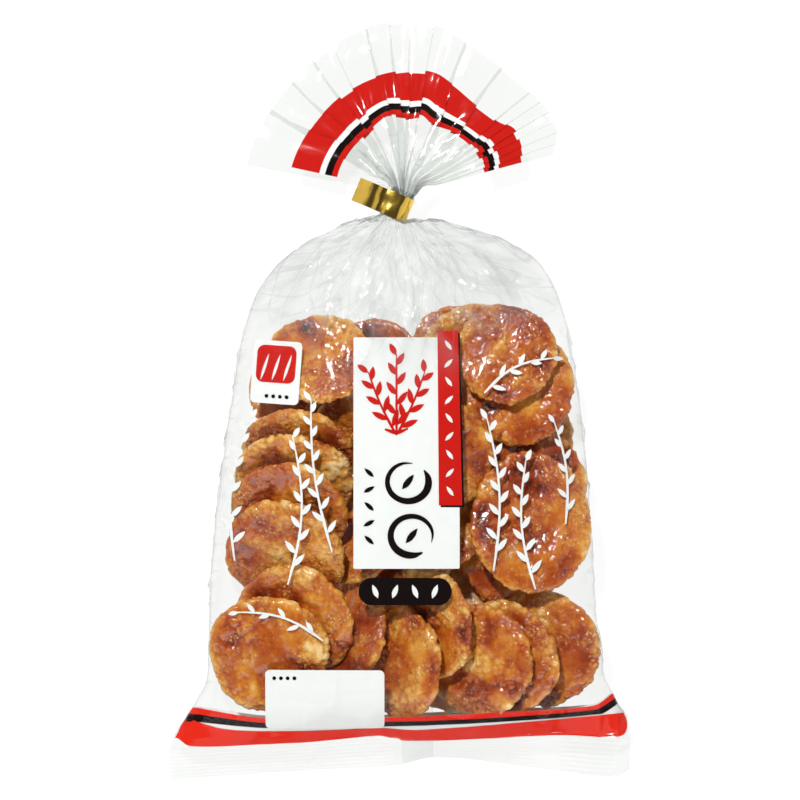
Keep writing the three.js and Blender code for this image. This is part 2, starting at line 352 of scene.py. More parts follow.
def plain_skin():
    """The film from the foot of the bottom seal to the middle of the neck, without its creases."""
    seal = [seal_ring(share) for share in np.linspace(0, 1, SEAL_ROWS)]
    body = [body_ring(up) for up in body_levels()]
    neck_foot, neck_top = -BAND_WIDTH / 2 - BAND_CLEARANCE, BAND_WIDTH / 2
    neck = neck_ring(neck_foot, NECK_RADIUS)
    throat = []
    for share in np.linspace(0, 1, THROAT_ROWS + 1)[1:-1]:
        inward = share**0.6
        ring = body[-1] * (1 - inward) + neck * inward
        ring[:, 1] = body[-1][:, 1] * (1 - share**1.6) + neck[:, 1] * share**1.6
        throat.append(ring)
    inside = [neck_ring(along, NECK_RADIUS) for along in (neck_foot, 0, neck_top)]
    inside.append(neck_ring(neck_top + FAN_OVERLAP, NECK_RADIUS * FAN_FOOT_SHARE))
    return np.array(seal + body + throat + inside)


def outward(skin):
    """The unit normals of a closed grid of points, pointing out of the bag."""
    along = np.gradient(skin, axis=0)
    around = np.roll(skin, -1, axis=1) - np.roll(skin, 1, axis=1)
    normal = np.cross(around, along)
    return normal / np.maximum(np.linalg.norm(normal, axis=-1, keepdims=True), 1e-9)


# ---- The pile's form --------------------------------------------------------------------------------


def facing(cracker):
    """A cracker's directions as rows: towards its raised edge, across that, and out of its face."""
    turn, lean = math.radians(cracker.toward), math.radians(cracker.lean)
    raised = [math.cos(turn) * math.cos(lean), math.sin(turn) * math.cos(lean), math.sin(lean)]
    side = [-math.sin(turn), math.cos(turn), 0]
    return np.array([raised, side, np.cross(raised, side)])


def spots():
    """Places on a cracker of radius 1 and half thickness 1, where it may touch its neighbours."""
    faces = [(reach, side * high, count) for reach, high, count in ((0.9, 0.9, 20), (0.5, 1, 10), (0, 1, 1))
             for side in (1, -1)]
    rings = [(1, 0, 28), *faces]
    turns = [(reach, high, 2 * math.pi * i / count) for reach, high, count in rings for i in range(count)]
    return np.array([(reach * math.cos(t), reach * math.sin(t), high) for reach, high, t in turns])


def depth_out(local, radius, stretch):
    """How far places lie outside a rounded disc, and the way out of it, all in the disc's own directions."""
    corner = CRACKER_THICKNESS / 2
    squeezed = local / np.stack([stretch, np.ones_like(stretch), np.ones_like(stretch)], -1)
    reach = np.hypot(squeezed[..., 0], squeezed[..., 1])
    past_rim = reach - (radius - corner)
    high = local[..., 2]
    beyond = np.maximum(past_rim, 0)
    outside = np.hypot(beyond, high) - corner
    away = np.maximum(np.hypot(beyond, high), 1e-6)
    radial = local[..., :2] / np.maximum(np.hypot(local[..., 0], local[..., 1]), 1e-6)[..., None]
    way = np.concatenate([radial * (beyond / away)[..., None], (high / away)[..., None]], -1)
    return outside, way


@functools.cache
def pile():
    """The crackers' middles and directions, once they have pushed each other apart inside the film."""
    middles = np.array([[c.across, c.up, c.high] for c in PILE], float)
    turned = np.array([facing(c) for c in PILE])
    radii, stretch = np.array([c.radius for c in PILE]), np.array([c.stretch for c in PILE])
    start, count = middles.copy(), len(PILE)
    size = np.stack([radii * stretch, radii, np.full(count, CRACKER_THICKNESS / 2)], -1)
    touching = spots()
    for _ in range(SETTLING_STEPS):
        arms = np.einsum("mk,ik,ikl->iml", touching, size, turned)
        places = middles[:, None] + arms
        local = np.einsum("imjk,jlk->imjl", places[:, :, None] - middles, turned)
        outside, way = depth_out(local, radii, stretch)
        outside[np.arange(count), :, np.arange(count)] = 99
        push, twist = np.zeros((count, 3)), np.zeros((count, 3))
        deepest = np.argmin(outside, axis=1)
        for i, j in zip(*np.nonzero(outside.min(axis=1) < CRACKER_ROOM)):
            spot = deepest[i, j]
            force = (CRACKER_ROOM - outside[i, spot, j]) * (way[i, spot, j] @ turned[j]) * 0.5
            push[i] += force
            push[j] -= force
            twist[i] += np.cross(arms[i, spot], force)
            twist[j] -= np.cross(places[i, spot] - middles[j], force)
        _, front, back = room(places[..., 0], places[..., 1])
        down = np.minimum(front - CRACKER_ROOM - places[..., 2], 0)
        lift = np.maximum(back + CRACKER_ROOM - places[..., 2], 0)
        for limit in (down, lift):
            hit = np.argmax(np.abs(limit), axis=1)
            force = np.zeros((count, 3))
            force[:, 2] = limit[np.arange(count), hit]
            push += force
            twist += np.cross(arms[np.arange(count), hit], force)
        half = through([(t.up, t.half) for t in SECTIONS], places[..., 1]) - 1
        off = places[..., 0] - through([(t.up, t.middle) for t in SECTIONS], places[..., 1])
        push[:, 0] += np.min(np.minimum(half - off, 0), axis=1) + np.max(np.maximum(-half - off, 0), axis=1)
        middles += np.clip(push * EASE, -LONGEST_STEP, LONGEST_STEP) * [0.6, 0.6, 1]
        middles += (start - middles) * PULL_BACK
        for i in range(count):
            spin = np.clip(twist[i] * EASE / radii[i] ** 2 * 1.5, -LARGEST_SPIN, LARGEST_SPIN)
            turned[i] = turned[i] + np.cross(spin, turned[i])
            turned[i, 0] /= np.linalg.norm(turned[i, 0])
            turned[i, 2] = np.cross(turned[i, 0], turned[i, 1])
            turned[i, 2] /= np.linalg.norm(turned[i, 2])
            turned[i, 1] = np.cross(turned[i, 2], turned[i, 0])
    return middles, turned


# ---- One cracker's form -----------------------------------------------------------------------------

CRACKER_PIECES = 88  # across each face of a cracker
UNSEEN_PIECES = 40


def disc_grid(pieces):
    """A square grid of places spread evenly over a disc of radius 1, as distances out and turns."""
    steps = np.linspace(-1, 1, pieces + 1)
    a, b = np.meshgrid(steps, steps, indexing="ij")
    wide = np.abs(a) > np.abs(b)
    reach = np.where(wide, a, b)
    safe = np.where(reach == 0, 1, reach)
    turn = np.where(wide, math.pi / 4 * b / safe, math.pi / 2 - math.pi / 4 * a / safe)
    return np.abs(reach), turn + np.where(reach < 0, math.pi, 0)


# Turns the grid that noise() draws its lumps on, so that none lie square to a cracker's face.
TILTED = np.array(Euler((0.7, 0.5, 1.1)).to_matrix())


def cracker_form(cracker, pieces, seed, crackers):
    """A cracker's points in its own directions, its faces, and how toasted and blistered each point is."""
    reach, turn = disc_grid(pieces)
    out = np.sin(reach * math.pi / 2)
    circle = np.stack([np.cos(turn), np.sin(turn), 0 * turn], -1)
    outline = 0.032 * noise(circle, 0.8, seed) + 0.012 * noise(circle, 0.22, seed + 1)
    radius = cracker.radius * (1 + outline)
    side = np.array([1, -1])[:, None, None]
    x = np.broadcast_to(radius * out * np.cos(turn) * cracker.stretch, (2,) + out.shape)
    y = np.broadcast_to(radius * out * np.sin(turn), (2,) + out.shape)
    rounding = np.sqrt(np.maximum(1 - out**11, 0))
    z = side * rounding * crackers.core / MM / 2
    points = np.stack([x, y, z], -1)
    rim_share = smoothstep(np.broadcast_to(out, x.shape), 0.86, 1)
    normal = np.stack([np.cos(turn) * out**5 + 0 * z, np.sin(turn) * out**5 + 0 * z, side * rounding], -1)
    normal /= np.maximum(np.linalg.norm(normal, axis=-1, keepdims=True), 1e-6)

    warp = flat_noise(x, y, 19, seed + 1)
    swell = noise(points @ TILTED, 10.5, seed + 2)
    hollow = smoothstep(-swell, 0.05, 0.7)
    crest = smoothstep(swell, 0.05, 0.65)
    patch = smoothstep(noise(points @ TILTED, 9, seed + 3) + 0.4 * rim_share, -0.1, 0.35)
    swollen = smoothstep(noise(points @ TILTED, 10, seed + 5) + 0.3 * rim_share, -0.15, 0.3)
    large = blisters(points, 3.4, seed + 4) * swollen
    small = blisters(points, 1.9, seed + 6) * patch
    grain = noise(points, 1.4, seed + 7)
    relief = 0.55 * crest - 0.85 * hollow + 1.0 * large + 0.75 * small + 0.15 * grain + 0.25 * rim_share
    relief = np.minimum(relief, 1.3)
    points = points + normal * relief[..., None] * crackers.relief
    saddle = 0.8 * (x * x - y * y) / cracker.radius**2 * (scrambled(np.array([seed, 1, 2]), 5) - 0.5)
    points[..., 2] += 0.6 * warp + saddle

    toast = 0.46 + 0.14 * crest - 0.22 * hollow + 0.22 * small + 0.22 * large + 0.12 * rim_share
    toast = toast + 0.24 * noise(points @ TILTED, 13, seed + 8) + 0.12 * noise(points @ TILTED, 4.5, seed + 9)
    blistered = 0.3 + 0.7 * patch

    count = (pieces + 1) ** 2
    index = np.arange(2 * count).reshape(2, pieces + 1, pieces + 1)
    edge = np.zeros((pieces + 1, pieces + 1), bool)
    edge[[0, -1]] = edge[:, [0, -1]] = True
    points[1][edge] = points[0][edge] = (points[0][edge] + points[1][edge]) / 2
    index[1][edge] = index[0][edge]
    quads = []
    for grid, order in ((index[0], (0, 1, 2, 3)), (index[1], (3, 2, 1, 0))):
        corners = [grid[:-1, :-1], grid[1:, :-1], grid[1:, 1:], grid[:-1, 1:]]
        quads.append(np.stack([corners[i] for i in order], -1).reshape(-1, 4))
    used, faces = np.unique(np.concatenate(quads), return_inverse=True)
    flat = points.reshape(-1, 3)[used]
    return flat, faces.reshape(-1, 4), toast.reshape(-1)[used], blistered.reshape(-1)[used]


def make_crackers(crackers):
    material = glazed_cracker(crackers)
    middles, turned = pile()
    for number, cracker in enumerate(PILE):
        hidden = cracker in UNSEEN
        points, faces, toast, blistered = cracker_form(
            cracker, UNSEEN_PIECES if hidden else CRACKER_PIECES, 20 * number + 7, crackers
        )
        placed = middles[number] + points @ turned[number]
        placed[:, 2] += max(CRACKER_LOWEST - placed[:, 2].min(), 0)
        toast = toast + 0.16 * (scrambled(np.array([number, 3, 1]), 11) - 0.5)
        attributes = [("toast", toast), ("blistered", blistered)]
        add_piece(f"cracker_{number + 1:02d}", placed, faces, material, "cracker", attributes)


# ---- The film over the pile -------------------------------------------------------------------------

FILM_SAG = 3.5  # how far the film falls in between the crackers that hold it out
FILM_ROOM = 0.9  # kept between the film and a cracker
FILM_LOWEST = 0.12
CRIMP_HEIGHT, CRIMP_PITCH = 0.09, 2.2  # the fine ribs that the sealing jaws press into the film
SEAL_WAVE = 0.55


def held_out(skin, normals, sag):
    """How far each point of the film has to stand out of the plain skin to clear the crackers."""
    middles, turned = pile()
    need = -sag
    for number, cracker in enumerate(PILE):
        reach = cracker.radius * cracker.stretch + 9
        near = np.nonzero(np.linalg.norm(skin - middles[number], axis=-1) < reach)
        size = np.full(len(near[0]), cracker.stretch)
        for step in np.arange(-6, 5.1, 0.5):
            local = (skin[near] + normals[near] * step - middles[number]) @ turned[number].T
            outside, _ = depth_out(local, cracker.radius, size)
            hit = outside < FILM_ROOM
            touched = (near[0][hit], near[1][hit])
            need[touched] = np.maximum(need[touched], step + np.minimum(FILM_ROOM - outside[hit], 0.5))
    return need


def settle(need, rounds):
    """The lowest smooth cover over the needed heights, as a tight film takes."""
    height = need.copy()
    for _ in range(rounds):
        along = (np.roll(height, 1, 0) + np.roll(height, -1, 0)) / 2
        around = (np.roll(height, 1, 1) + np.roll(height, -1, 1)) / 2
        along[0], along[-1] = height[0], height[-1]
        height = np.maximum(need, (along + around) / 2)
    return height


def neck_polar(skin):
    """Each point's distance from the neck and its turn round it, from straight down the bag."""
    dx, dy = skin[..., 0] - NECK_ACROSS, NECK_UP - skin[..., 1]
    return np.hypot(dx, dy), np.arctan2(dx, np.maximum(dy, -5))


def creases(skin):
    """How far the film's creases stand out, and how sharply it is folded there, from 0 to 1."""
    across, face = ring_places()
    away, turn = neck_polar(skin)
    x, up = skin[..., 0], skin[..., 1]
    side = np.broadcast_to(face * 31.0, away.shape)
    ring = np.log(np.maximum(away, 4)) * 30
    sweep = turn * 22
    gathers = ridges(noise(np.stack([sweep, ring * 0.1, side], -1), 2.6, 3))
    rising = ridges(noise(np.stack([sweep + 0.3 * ring, 0.14 * (ring - sweep), side], -1), 4.4, 4))
    falling = ridges(noise(np.stack([sweep - 0.3 * ring, 0.14 * (ring + sweep), side], -1), 4.4, 5))
    shoulder = smoothstep(away, 6, 26) * (1 - smoothstep(away, 50, 90))
    near_neck = 1 - smoothstep(away, 20, 72)
    edge = smoothstep(np.abs(np.broadcast_to(across, away.shape)), 0.74, 1)
    relief = shoulder * (1.3 * rising + 1.3 * falling - 0.9) * (1 - 0.7 * edge)
    relief = relief + near_neck * smoothstep(away, 3, 14) * 1.7 * (gathers - 0.4)

    crumple = ridges(noise(np.stack([x * 0.35, up, side], -1), 9, 6))
    crumple = crumple + ridges(noise(np.stack([x, up * 0.6, side], -1), 5, 7))
    edge = edge * smoothstep(up, 30, 60) * (1 - 0.8 * smoothstep(up, 180, 212))
    relief = relief + edge * 0.9 * (crumple - 0.8)

    body = smoothstep(up, 40, 70) * (1 - smoothstep(up, 190, 225))
    tension = ridges(noise(np.stack([x, up * 0.45, side], -1), 16, 8)) - 0.5
    relief = relief + body * 0.55 * tension

    foot = smoothstep(up, 17, 24) * (1 - smoothstep(up, 34, 62))
    pleats = ridges(noise(np.stack([x, up * 0.12, side], -1), 7.5, 9)) - 0.45
    folded = np.maximum(shoulder * np.maximum(rising, falling) ** 2, near_neck * gathers**2)
    folded = np.maximum(folded, edge * np.clip(crumple - 1, 0, 1))
    return relief + foot * 0.9 * pleats, folded


@functools.cache
def film():
    """The film's points from the bottom seal to the neck, held out by the crackers and creased, and how
    sharply each point is folded."""
    skin = plain_skin()
    normals = outward(skin)
    up = skin[..., 1]
    across, face = ring_places()
    middle = 1 - smoothstep(np.abs(np.broadcast_to(across, up.shape)), 0.72, 0.98)
    sag = FILM_SAG * middle * smoothstep(up, 26, 60) * (1 - smoothstep(up, 200, 232))
    body = slice(SEAL_ROWS, SEAL_ROWS + BODY_ROWS)
    need = held_out(skin[body], normals[body], sag[body].copy())
    height = np.maximum(settle(need, 90), need)
    step = 0.6 * settle(height, 4) + 0.4 * height
    out = np.zeros(up.shape)
    out[body] = step
    relief, folded = creases(skin)
    relief[:SEAL_ROWS] = 0
    relief[SEAL_ROWS + BODY_ROWS + THROAT_ROWS - 1 :] = 0
    floor_share = smoothstep(skin[..., 2], 1, 6)
    wanted = out + relief * np.where(face > 0, 1, floor_share)
    wanted[body] = np.maximum(wanted[body], need - 0.25)
    shaped = skin + normals * wanted[..., None]
    shaped[..., 2] = np.maximum(shaped[..., 2], FILM_LOWEST)
    crimp = CRIMP_HEIGHT * np.sin(np.linspace(0, 1, SEAL_ROWS) * SEAL_DEPTH / CRIMP_PITCH * 2 * math.pi)
    shaped[:SEAL_ROWS, :, 2] += crimp[:, None]
    wave = SEAL_WAVE * flat_noise(skin[:SEAL_ROWS, :, 0], 0 * skin[:SEAL_ROWS, :, 0], 26, 12)
    lowest = FILM_LOWEST + 0.03 + FILM_GAP * (face + 1)
    shaped[:SEAL_ROWS, :, 2] = np.maximum(shaped[:SEAL_ROWS, :, 2] + wave, lowest)
    return shaped, folded


def make_film(pack):
    skin, folded = film()
    rows, columns, _ = skin.shape
    faces = grid_faces(rows, columns, closed=True)
    across, face = ring_places()
    away, turn = neck_polar(skin)
    up = skin[..., 1]
    # Where the film is creased: this sets how strong its creases' bumps are, and how much painted shade it
    # gets in streaks and lines.
    shoulder = smoothstep(up, 192, 212) + (1 - smoothstep(away, 38, 82)) * smoothstep(up, 150, 190)
    side = smoothstep(np.abs(np.broadcast_to(across, up.shape)), 0.8, 0.97) * 0.8
    creased = np.clip(np.maximum(shoulder, side), 0, 1)
    creased[: SEAL_ROWS + 12] = 0.08 * (1 - smoothstep(up[: SEAL_ROWS + 12], 13, 19))
    attributes = [
        ("gather_across", (turn * 26 + face * 60) * MM),
        ("gather_along", away * MM),
        ("creased", creased),
        ("folded", folded),
    ]
    faces = faces.tolist() + end_faces(rows, columns)
    piece = add_piece("film_bag", skin, faces, clear_film(pack), "film", attributes)
    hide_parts("bag")


# ---- The fan of film above the band -----------------------------------------------------------------

# The pleats' widths from left to right, as shares: wide on the left, and stacked close on the right.
PLEAT_WIDTHS = [2.3, 1.5, 1.2, 1.0, 1.4, 0.9, 0.8, 0.9, 1.3, 1.7, 1.5, 0.55, 0.5, 0.45, 0.4, 0.4, 0.4]
FAN_PLEATS = len(PLEAT_WIDTHS)
PLEAT_PIECES = 11
FAN_GAP = 0.06
FAN_SLIP = 0.9  # the most that a pleat slips along itself
FORWARD_SHARE = 0.72  # of each pleat's columns, the ones that run forward before it folds back
PLEAT_HEIGHTS = [(5, 3.4), (12, 2.6), (22, 1.5), (34, 0.6), (46, 0.28), (72, 0.22)]  # at each reach
FAN_ROWS = 64


def fan_slips():
    """How far each pleat has slipped along itself, from -1 to 1."""
    return np.random.default_rng(21).uniform(-1, 1, FAN_PLEATS)


def fan_start():
    return np.array([NECK_ACROSS, NECK_UP, NECK_HIGH]) + (BAND_WIDTH / 2 + BAND_CLEARANCE) * NECK_AXIS


@functools.cache
def fan_pleats():
    """Each column's place across the fan, how far it is folded over, its height in the fold and its pleat."""
    widths = np.array(PLEAT_WIDTHS)
    edges = np.concatenate([[0], np.cumsum(widths)]) / widths.sum()
    columns = []
    for pleat in range(FAN_PLEATS):
        wide = edges[pleat + 1] - edges[pleat]
        last = pleat == FAN_PLEATS - 1
        forward_share = 1 if last else FORWARD_SHARE
        for piece in range(PLEAT_PIECES):
            share = piece / PLEAT_PIECES
            part = min(share / forward_share, 1)
            back = max(share - forward_share, 0) / (1 - FORWARD_SHARE)
            fold = 0 if last else (part if back == 0 else 1 - back)
            columns.append((edges[pleat] + part * wide, fold * wide, 2 * part - 1 - 2 * back, pleat))
    columns.append((1, 0, 1, FAN_PLEATS - 1))
    return np.array(columns).T


def fan_point(reach, face):
    """The fan's columns of points at a reach from the top of the neck, on its front or back film."""
    place, fold, high, pleat = fan_pleats()
    pleat = pleat.astype(int)
    chance = np.random.default_rng(21)
    overlap = chance.uniform(0.35, 1.15, FAN_PLEATS)
    slip = fan_slips()
    gathered = np.clip((FAN_LONGEST / max(reach, 6) - 1) / 2, 0.1, 0.95)
    spread = 0.8 + 0.2 * float(smoothstep(reach, 5, 16))
    turned = place + fold * gathered * overlap[pleat] * 0.9
    middle = (FAN_LEFT + FAN_RIGHT) / 2
    degrees = middle + (FAN_RIGHT - FAN_LEFT) * (turned - 0.5) * spread
    degrees = np.clip(degrees, FAN_LEFT, FAN_RIGHT)
    share = reach / FAN_LONGEST
    stretched = reach * (1 + share * (through(FAN_RIM, degrees) / FAN_LONGEST - 1))
    stretched = stretched + slip[pleat] * FAN_SLIP * float(smoothstep(reach, 18, 45))
    turn = np.radians(degrees)
    start = fan_start()
    tall = float(through(PLEAT_HEIGHTS, reach))
    centre = NECK_HIGH + (FAN_RIM_HIGH - NECK_HIGH) * share
    bundled = NECK_RADIUS * FAN_FOOT_SHARE * (1 - float(smoothstep(reach, 0, 14))) * (2 * turned - 1)
    x = start[0] + stretched * np.sin(turn) + bundled * NECK_SIDE[0]
    up = start[1] + stretched * np.cos(turn) + bundled * NECK_SIDE[1]
    crease = noise(np.stack([degrees * 0.35, np.full_like(degrees, reach * 0.13), high * 0.4], -1), 1.6, 5)
    edge_share = 1 - np.abs(2 * place - 1) ** 10
    z = centre + high * tall * edge_share + 0.8 * crease * float(smoothstep(reach, 6, 20)) * edge_share
    gap = FAN_GAP * face * np.where((place == 0) | (np.arange(len(place)) == len(place) - 1), 0, 1)
    return np.stack([x, up, z + gap], -1)


def fan_reaches():
    """The fan's rows as distances from the top of the neck, the first ones inside it."""
    beyond = FAN_LONGEST * np.linspace(0.03, 1, FAN_ROWS) ** 1.15
    return np.concatenate([[-FAN_OVERLAP, -FAN_OVERLAP / 3], beyond])


def fan_skin():
    front = np.array([fan_point(reach, 1) for reach in fan_reaches()])
    back = np.array([fan_point(reach, -1) for reach in fan_reaches()])
    return np.concatenate([front, back[:, -2:0:-1]], axis=1)


def make_fan(pack):
    skin = fan_skin()
    rows, columns, _ = skin.shape
    faces = grid_faces(rows, columns, closed=True)
    place, _, _, _ = fan_pleats()
    place = np.concatenate([place, place[-2:0:-1]])
    reach = fan_reaches()[:, None] + 0 * place
    attributes = [
        ("gather_across", (place * 75 + 0 * reach) * MM),
        ("gather_along", reach * MM),
        # Crease bumps and painted shade in streaks and lines, strongest near the neck.
        ("creased", 0.02 + 0.75 * (1 - smoothstep(reach, 8, 32))),
    ]
    faces = faces.tolist() + end_faces(rows, columns)
    add_piece("film_fan", skin, faces, clear_film(pack), "film", attributes)


# ---- Prints -----------------------------------------------------------------------------------------
# Inks lie inside the film: at INK_DEPTHS the top colour, then what is printed under it.

INK_DEPTHS = (0.22, 0.42, 0.62)
INK_OVER = 0.08  # the label's white, which lies over the stripes, with its dots on top
INK_THICKNESS = 0.06
PRINT_SPACING, STROKE_SPACING = 0.9, 0.8  # between a print's points
STRIPE_ROWS, STRIPE_LOWEST = 6, 0.2
STEEPEST = 0.35  # the least upward share of the film's way out that an ink's depth allows for

# The stripes above the bottom seal, as (across, up) along their edges.
STRIPE_THIN_TOP = [(-86.8, 32), (-57.5, 27.9), (-7.3, 28.3), (43, 30.7), (83.4, 33), (91.6, 38)]
STRIPE_BLACK_TOP = [(-86.8, 29.2), (-57.5, 25.9), (-7.3, 26.2), (83.4, 31.1), (92.9, 35.9)]
STRIPE_WHITE_TOP = [(-87.7, 25.9), (-57, 23.5), (-7.3, 24), (86.4, 29.2), (93.7, 33.3)]
STRIPE_WIDE_TOP = [
    (-89.9, 26.8), (-76, 22.9), (-56.2, 22), (-26.4, 22.5), (-9.9, 23.3), (8.6, 22.5), (95.5, 29.4),
]
STRIPE_WIDE_FOOT = [
    (-96.3, 18.6), (-90.7, 15.1), (-57.5, 16), (-43.2, 16.4), (-23.8, 18.1), (-9.1, 19.4),
    (0.9, 17.3), (35.4, 18.1), (69.6, 19.4), (89.4, 18.1), (98.5, 19.9),
]

# The same stripes on the fan, as (degrees from straight up the bag, reach from the top of the neck).
FAN_STRIPE_OUTER = [
    (-79, 49), (-49, 48.7), (-21, 51), (0, 53), (14, 54), (24, 52), (38, 50), (52, 51.7), (60, 55.5),
    (74, 54),
]
FAN_STRIPE_INNER = [
    (-75, 28.7), (-52, 29.2), (-32, 30.1), (-19, 32.7), (-11, 34.3), (3, 33.2), (13.5, 34.7), (22, 32.5),
    (43, 35.4), (56, 36.9), (68, 37.3),
]
# Shares of the way in from the outer edge to the inner one: red, white, black, thin red.
FAN_STRIPE_SHARES = (0, 0.607, 0.731, 0.877, 1)


def sheet_solid(grid, thickness=INK_THICKNESS):
    """A grid of points as a thin closed sheet, as its points and faces."""
    rows, columns, _ = grid.shape
    normal = np.cross(np.gradient(grid, axis=1), np.gradient(grid, axis=0))
    normal /= np.maximum(np.linalg.norm(normal, axis=-1, keepdims=True), 1e-9)
    top, bottom = grid_faces(rows, columns), grid_faces(rows, columns, start=rows * columns)[:, ::-1]
    index = np.arange(rows * columns).reshape(rows, columns)
    border = np.concatenate([index[0], index[1:, -1], index[-1, -2::-1], index[-2:0:-1, 0]])
    following = np.roll(border, -1)
    wall = np.stack([border, border + rows * columns, following + rows * columns, following], -1)
    points = np.concatenate([grid.reshape(-1, 3), (grid - normal * thickness).reshape(-1, 3)])
    return points, np.concatenate([top, bottom, wall])


def joined(solids):
    """Several solids' points and faces as one."""
    points, faces, count = [], [], 0
    for solid_points, solid_faces in solids:
        points.append(solid_points)
        faces.append(solid_faces + count)
        count += len(solid_points)
    return np.concatenate(points), np.concatenate(faces)


def crossing(values, level):
    """The row, as a fraction, where each column of values first reaches the level of that column."""
    reached = values >= level
    row = np.clip(np.argmax(reached, axis=0), 1, len(values) - 1)
    column = np.arange(values.shape[1])
    low, high = values[row - 1, column], values[row, column]
    level = np.broadcast_to(level, values.shape)[row, column]
    return row - 1 + np.clip((level - low) / np.where(high == low, 1, high - low), 0, 1)


def at_row(grid, row):
    """Each column's point at a fraction of a row."""
    low = np.clip(np.floor(row).astype(int), 0, len(grid) - 2)
    column = np.arange(grid.shape[1])
    share = (row - low)[:, None]
    return grid[low, column] * (1 - share) + grid[low + 1, column] * share


def stripe_on(grid, low_row, high_row):
    """A stripe between two edges, each given as a row of the grid for each column."""
    shares = np.linspace(0, 1, STRIPE_ROWS)
    return np.array([at_row(grid, low_row + (high_row - low_row) * share) for share in shares])


@functools.cache
def front_film():
    return film()[0][:, : FILM_PIECES + 1]


@functools.cache
def back_film():
    return film()[0][:, [0, *range(2 * FILM_PIECES - 1, FILM_PIECES - 1, -1)]]


@functools.cache
def film_surface():
    """The front film as a surface that straight lines down from above can meet."""
    grid = front_film()
    faces = grid_faces(*grid.shape[:2])
    return BVHTree.FromPolygons([Vector(p) for p in grid.reshape(-1, 3)], faces.tolist())


def on_film(places, depth):
    """Places across and up the bag as points just inside the front film."""
    points = []
    for x, up in np.asarray(places, float).reshape(-1, 2):
        hit, normal, _, _ = film_surface().ray_cast(Vector((x, up, 200)), Vector((0, 0, -1)))
        if hit is None:
            raise RuntimeError(f"No film under the print at {x:.1f}, {up:.1f}")
        points.append(hit - Vector((0, 0, depth / max(abs(normal.z), STEEPEST))))
    return np.array(points).reshape(*np.shape(places)[:-1], 3)


def bag_stripe(grid, foot, top, depth):
    x, up = grid[..., 0], grid[..., 1]
    inside = slice(1, -1)
    low = crossing(up, through(foot, x))[inside]
    high = crossing(up, through(top, x))[inside]
    stripe = stripe_on(grid[:, inside], low, high)
    side = 1 if grid[len(grid) // 2, grid.shape[1] // 2, 2] > NECK_HIGH else -1  # the front film or the back
    normal = np.cross(np.gradient(stripe, axis=1), np.gradient(stripe, axis=0))
    level = np.abs(normal[..., 2]) / np.maximum(np.linalg.norm(normal, axis=-1), 1e-9)
    stripe[..., 2] -= depth * side / np.maximum(level, STEEPEST)
    stripe[..., 2] = np.maximum(stripe[..., 2], STRIPE_LOWEST)
    return stripe


def fan_stripe(outer_share, inner_share):
    skin = fan_skin()
    count = FAN_PLEATS * PLEAT_PIECES + 1
    front = skin[:, :count]
    back = skin[:, [0, *range(skin.shape[1] - 1, count - 2, -1)]]
    middle = (front + back) / 2
    start = fan_start()
    dx, dy = middle[..., 0] - start[0], middle[..., 1] - start[1]
    degrees = np.degrees(np.arctan2(dx, dy))
    pleat = fan_pleats()[3]
    slip = fan_slips()[pleat.astype(int)] * FAN_SLIP
    reach = np.hypot(dx, dy) - slip
    outer, inner = through(FAN_STRIPE_OUTER, degrees), through(FAN_STRIPE_INNER, degrees)
    rows = [crossing(reach, outer + (inner - outer) * share)[1:-1] for share in (inner_share, outer_share)]
    return stripe_on(middle[:, 1:-1], *rows)


RED_STRIPES = ((STRIPE_BLACK_TOP, STRIPE_THIN_TOP), (STRIPE_WIDE_FOOT, STRIPE_WIDE_TOP))


def make_stripes(pack):
    # The foot's red stripes take a brighter copy of the red ink, which is painted light.
    materials = {colour: printed_ink(colour, pack) for colour in ("red", "red_over_white", "white", "black")}
    for name, grid in (("front", front_film()), ("back", back_film())):
        red = [bag_stripe(grid, foot, top, INK_DEPTHS[0]) for foot, top in RED_STRIPES]
        black = bag_stripe(grid, STRIPE_WHITE_TOP, STRIPE_BLACK_TOP, INK_DEPTHS[0])
        white = bag_stripe(grid, STRIPE_WIDE_FOOT, STRIPE_THIN_TOP, INK_DEPTHS[1])
        for colour, ink, stripes in (
            ("red", "red_over_white", red), ("black", "black", [black]), ("white", "white", [white]),
        ):
            points, faces = joined([sheet_solid(stripe) for stripe in stripes])
            add_piece(f"stripes_{name}_{colour}", points, faces, materials[ink], f"print_{colour}")
    red_outer, white_outer, black_outer, red_inner, last = FAN_STRIPE_SHARES
    fan_parts = {
        "red": [(red_outer, white_outer), (red_inner, last)],
        "white": [(white_outer, black_outer)],
        "black": [(black_outer, red_inner)],
    }
    for colour, shares in fan_parts.items():
        points, faces = joined([sheet_solid(fan_stripe(*pair)) for pair in shares])
        add_piece(f"stripes_fan_{colour}", points, faces, materials[colour], f"print_{colour}")


# ---- The panel and the motifs -----------------------------------------------------------------------

PANEL = (-19.9, 92.9, 25.5, 191.8)  # left, foot, right and top
RED_STRIP = [(16, 16.6), (24.8, 26.6)]  # its left and right edges, at its top and at its foot
RED_STRIP_FOOT, RED_STRIP_TOP = 120, 194.6
PILL = (-17.7, 77.3, 22, 89)
LABEL = (-57.9, 23.3, -6.7, 49.2)
BADGE_MIDDLE, BADGE_SIZE, BADGE_TURN = (-53.1, 176.9), (21, 27), math.radians(-4)
SHEAF_FOOT, SHEAF_LENGTH = (-1.5, 150), 33
RINGS = [((3.4, 130), 8.8, 0.9), ((5, 107), 9, 2.6)]  # middle, radius, and the turn where the brush sets off
RING_WIDTHS = [0.6, 2.6, 3.1, 3, 2.8, 2.6, 2.4, 2.3, 2.1, 1.9, 1.6, 1.1, 0.3]  # of the stroke


